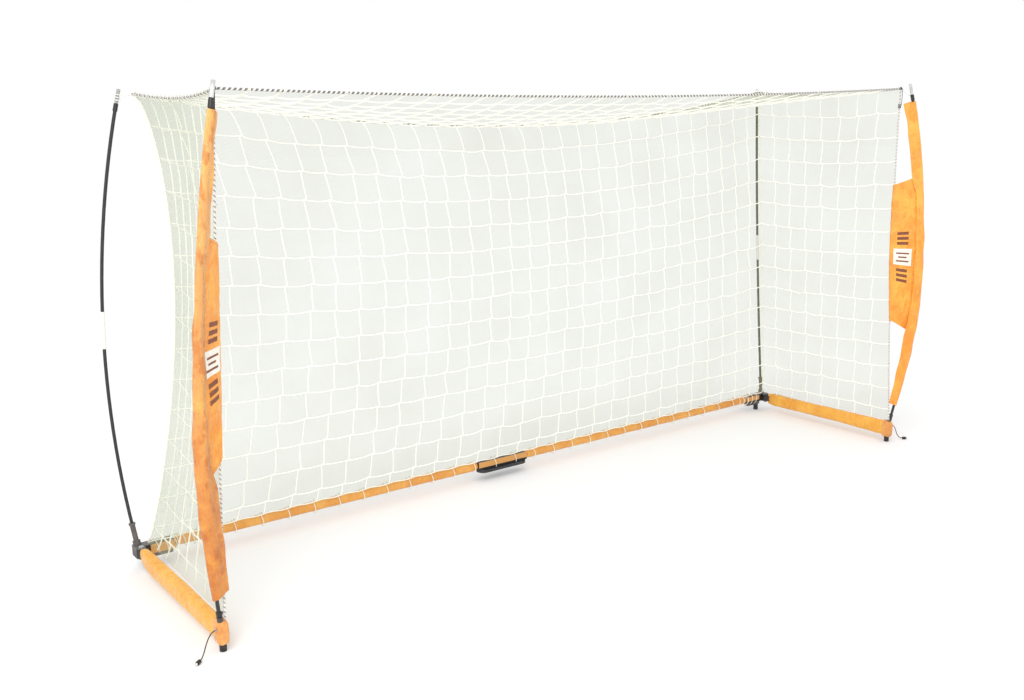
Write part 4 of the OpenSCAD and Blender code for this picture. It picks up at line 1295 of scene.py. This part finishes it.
soup = Soup()
for s in np.arange(FLAP_LOW + 0.012, FLAP_HIGH - 0.012, 0.011):
    flap_stitch(soup, (s, HEM), (s + 0.007, HEM), (0.3, -1, 0))
for s in (FLAP_LOW + 0.010, FLAP_HIGH - 0.010):
    for u in np.linspace(0.12, 0.88, 14):
        flap_stitch(soup, (s, u), (s, u + 0.03), (0, 0, 1))
both(soup, "flap_stitching", [M_THREAD], "{side}_arm")

# A knotted black cord round each front pole above its socket
soup = Soup()
KNOT_S, KNOT_PITCH, KNOT_TURN_R = 0.0640, 0.0036, 0.0082
axis = front_arc.direction(0.07)
for k in range(4):
    at = front_arc.point(KNOT_S + KNOT_PITCH * k)
    soup.tube(loop(at, axis, KNOT_TURN_R, 22, 0.0008), 0.0020, 7, hint=axis, closed=True)
knot_at = front_arc.point(0.070) + unit([0.8, -0.4, 0]) * 0.0095
soup.blob(knot_at, [[0.003, -0.002, 0.006], [0.004, 0.002, 0], [0, 0.004, 0.002]], 8, 12)
both(soup, "pole_knot", [M_BLACK_CORD], "{side}_arm", ["{side}_pole_clamp"])

# ---------- Orange strips over the bare hardware ----------

STRIP_T, STRIP_WAVE = 0.0018, 0.0003
STRIP_END, STRIP_Y = 0.041, REAR_Y - 0.022
STITCH_RISE = (0.0004, 0.0009, 0.0004)


def strip(soup, x0, x1, y, z0, z1):
    """Flat webbing with a row of stitches along both edges."""
    x = np.linspace(x0, x1, 50)
    z = np.linspace(z0, z1, 8)
    xx, zz = np.meshgrid(x, z, indexing="ij")
    yy = y + STRIP_WAVE * np.sin((xx - x0) * 60) * np.cos((zz - z0) / (z1 - z0) * np.pi)
    face = np.stack([xx, yy, zz], -1)
    back = face + [0, STRIP_T, 0]
    soup.grid(face)
    soup.grid(back, flip=True)
    soup.rim(face, back)
    for zr in (z0 + 0.003, z1 - 0.003):
        for xs in np.arange(x0 + 0.004, x1 - 0.008, 0.010):
            stitch = [[xs + 0.003 * k, y - rise, zr] for k, rise in enumerate(STITCH_RISE)]
            soup.tube(stitch, 0.0006, 4, hint=(0, 0, 1), mat=1)


soup = Soup()
strip(soup, CENTRE_X - CENTRE_GAP / 2 + 0.001, CENTRE_X + CENTRE_GAP / 2 - 0.001,
      REAR_Y - 0.0215, BAR_H - 0.006, BAR_H + 0.021)
strip(soup, -ARM_X + STRIP_END, LEFT_BAR[0] - 0.001, STRIP_Y, BAR_H - 0.020, BAR_H + 0.018)
strip(soup, RIGHT_BAR[1] + 0.001, ARM_X - STRIP_END, STRIP_Y, BAR_H - 0.008, BAR_H + 0.018)
piece(soup, "orange_strips", [M_STRIP, M_THREAD], "root", ["base_strips"])

# ---------- Materials of the CAD parts that show as they are ----------

CAD_LOOKS = {
    "rear_tube_left": M_STEEL, "rear_tube_right": M_STEEL, "centre_coupler": M_BLACK,
    "centre_pad": M_PAD, "left_bracket": M_BRACKET, "right_bracket": M_BRACKET,
    "hinge_bolts": M_ZINC, "rear_feet": M_RUBBER, "rear_sockets": M_SOCKET,
    "rear_pole_left": M_POLE, "rear_pole_right": M_POLE, "rear_ferrules": M_FERRULE,
    "rear_tips": M_SILVER, "left_bar_button": M_ZINC, "right_bar_button": M_ZINC,
}
for side, _ in SIDES:
    CAD_LOOKS.update({
        f"{side}_arm_tube": M_STEEL, f"{side}_knuckle": M_STEEL, f"{side}_front_foot": M_RUBBER,
        f"{side}_front_socket": M_STEEL, f"{side}_front_pole": M_POLE,
        f"{side}_pole_fittings": M_SILVER, f"{side}_cord_eyelet": M_ZINC,
        f"{side}_cord_lock": M_BLACK, f"{side}_lock_plunger": M_CLEAR,
    })
for name, look_material in CAD_LOOKS.items():
    mesh = nodes[name].data
    mesh.materials.clear()
    mesh.materials.append(look_material)

# Only the tips are bare metal: the collars under them and the front poles' ferrules are black
TIP_LEN = 0.0535
TIPS = {"left_pole_fittings": front_arc, "right_pole_fittings": front_arc, "rear_tips": rear_arc}
for name, arc in TIPS.items():
    mesh = nodes[name].data
    mesh.materials.append(M_POLE)
    top = arc.point(arc.length - TIP_LEN)[2]
    for polygon in mesh.polygons:
        polygon.material_index = 0 if polygon.center.z > top else 1
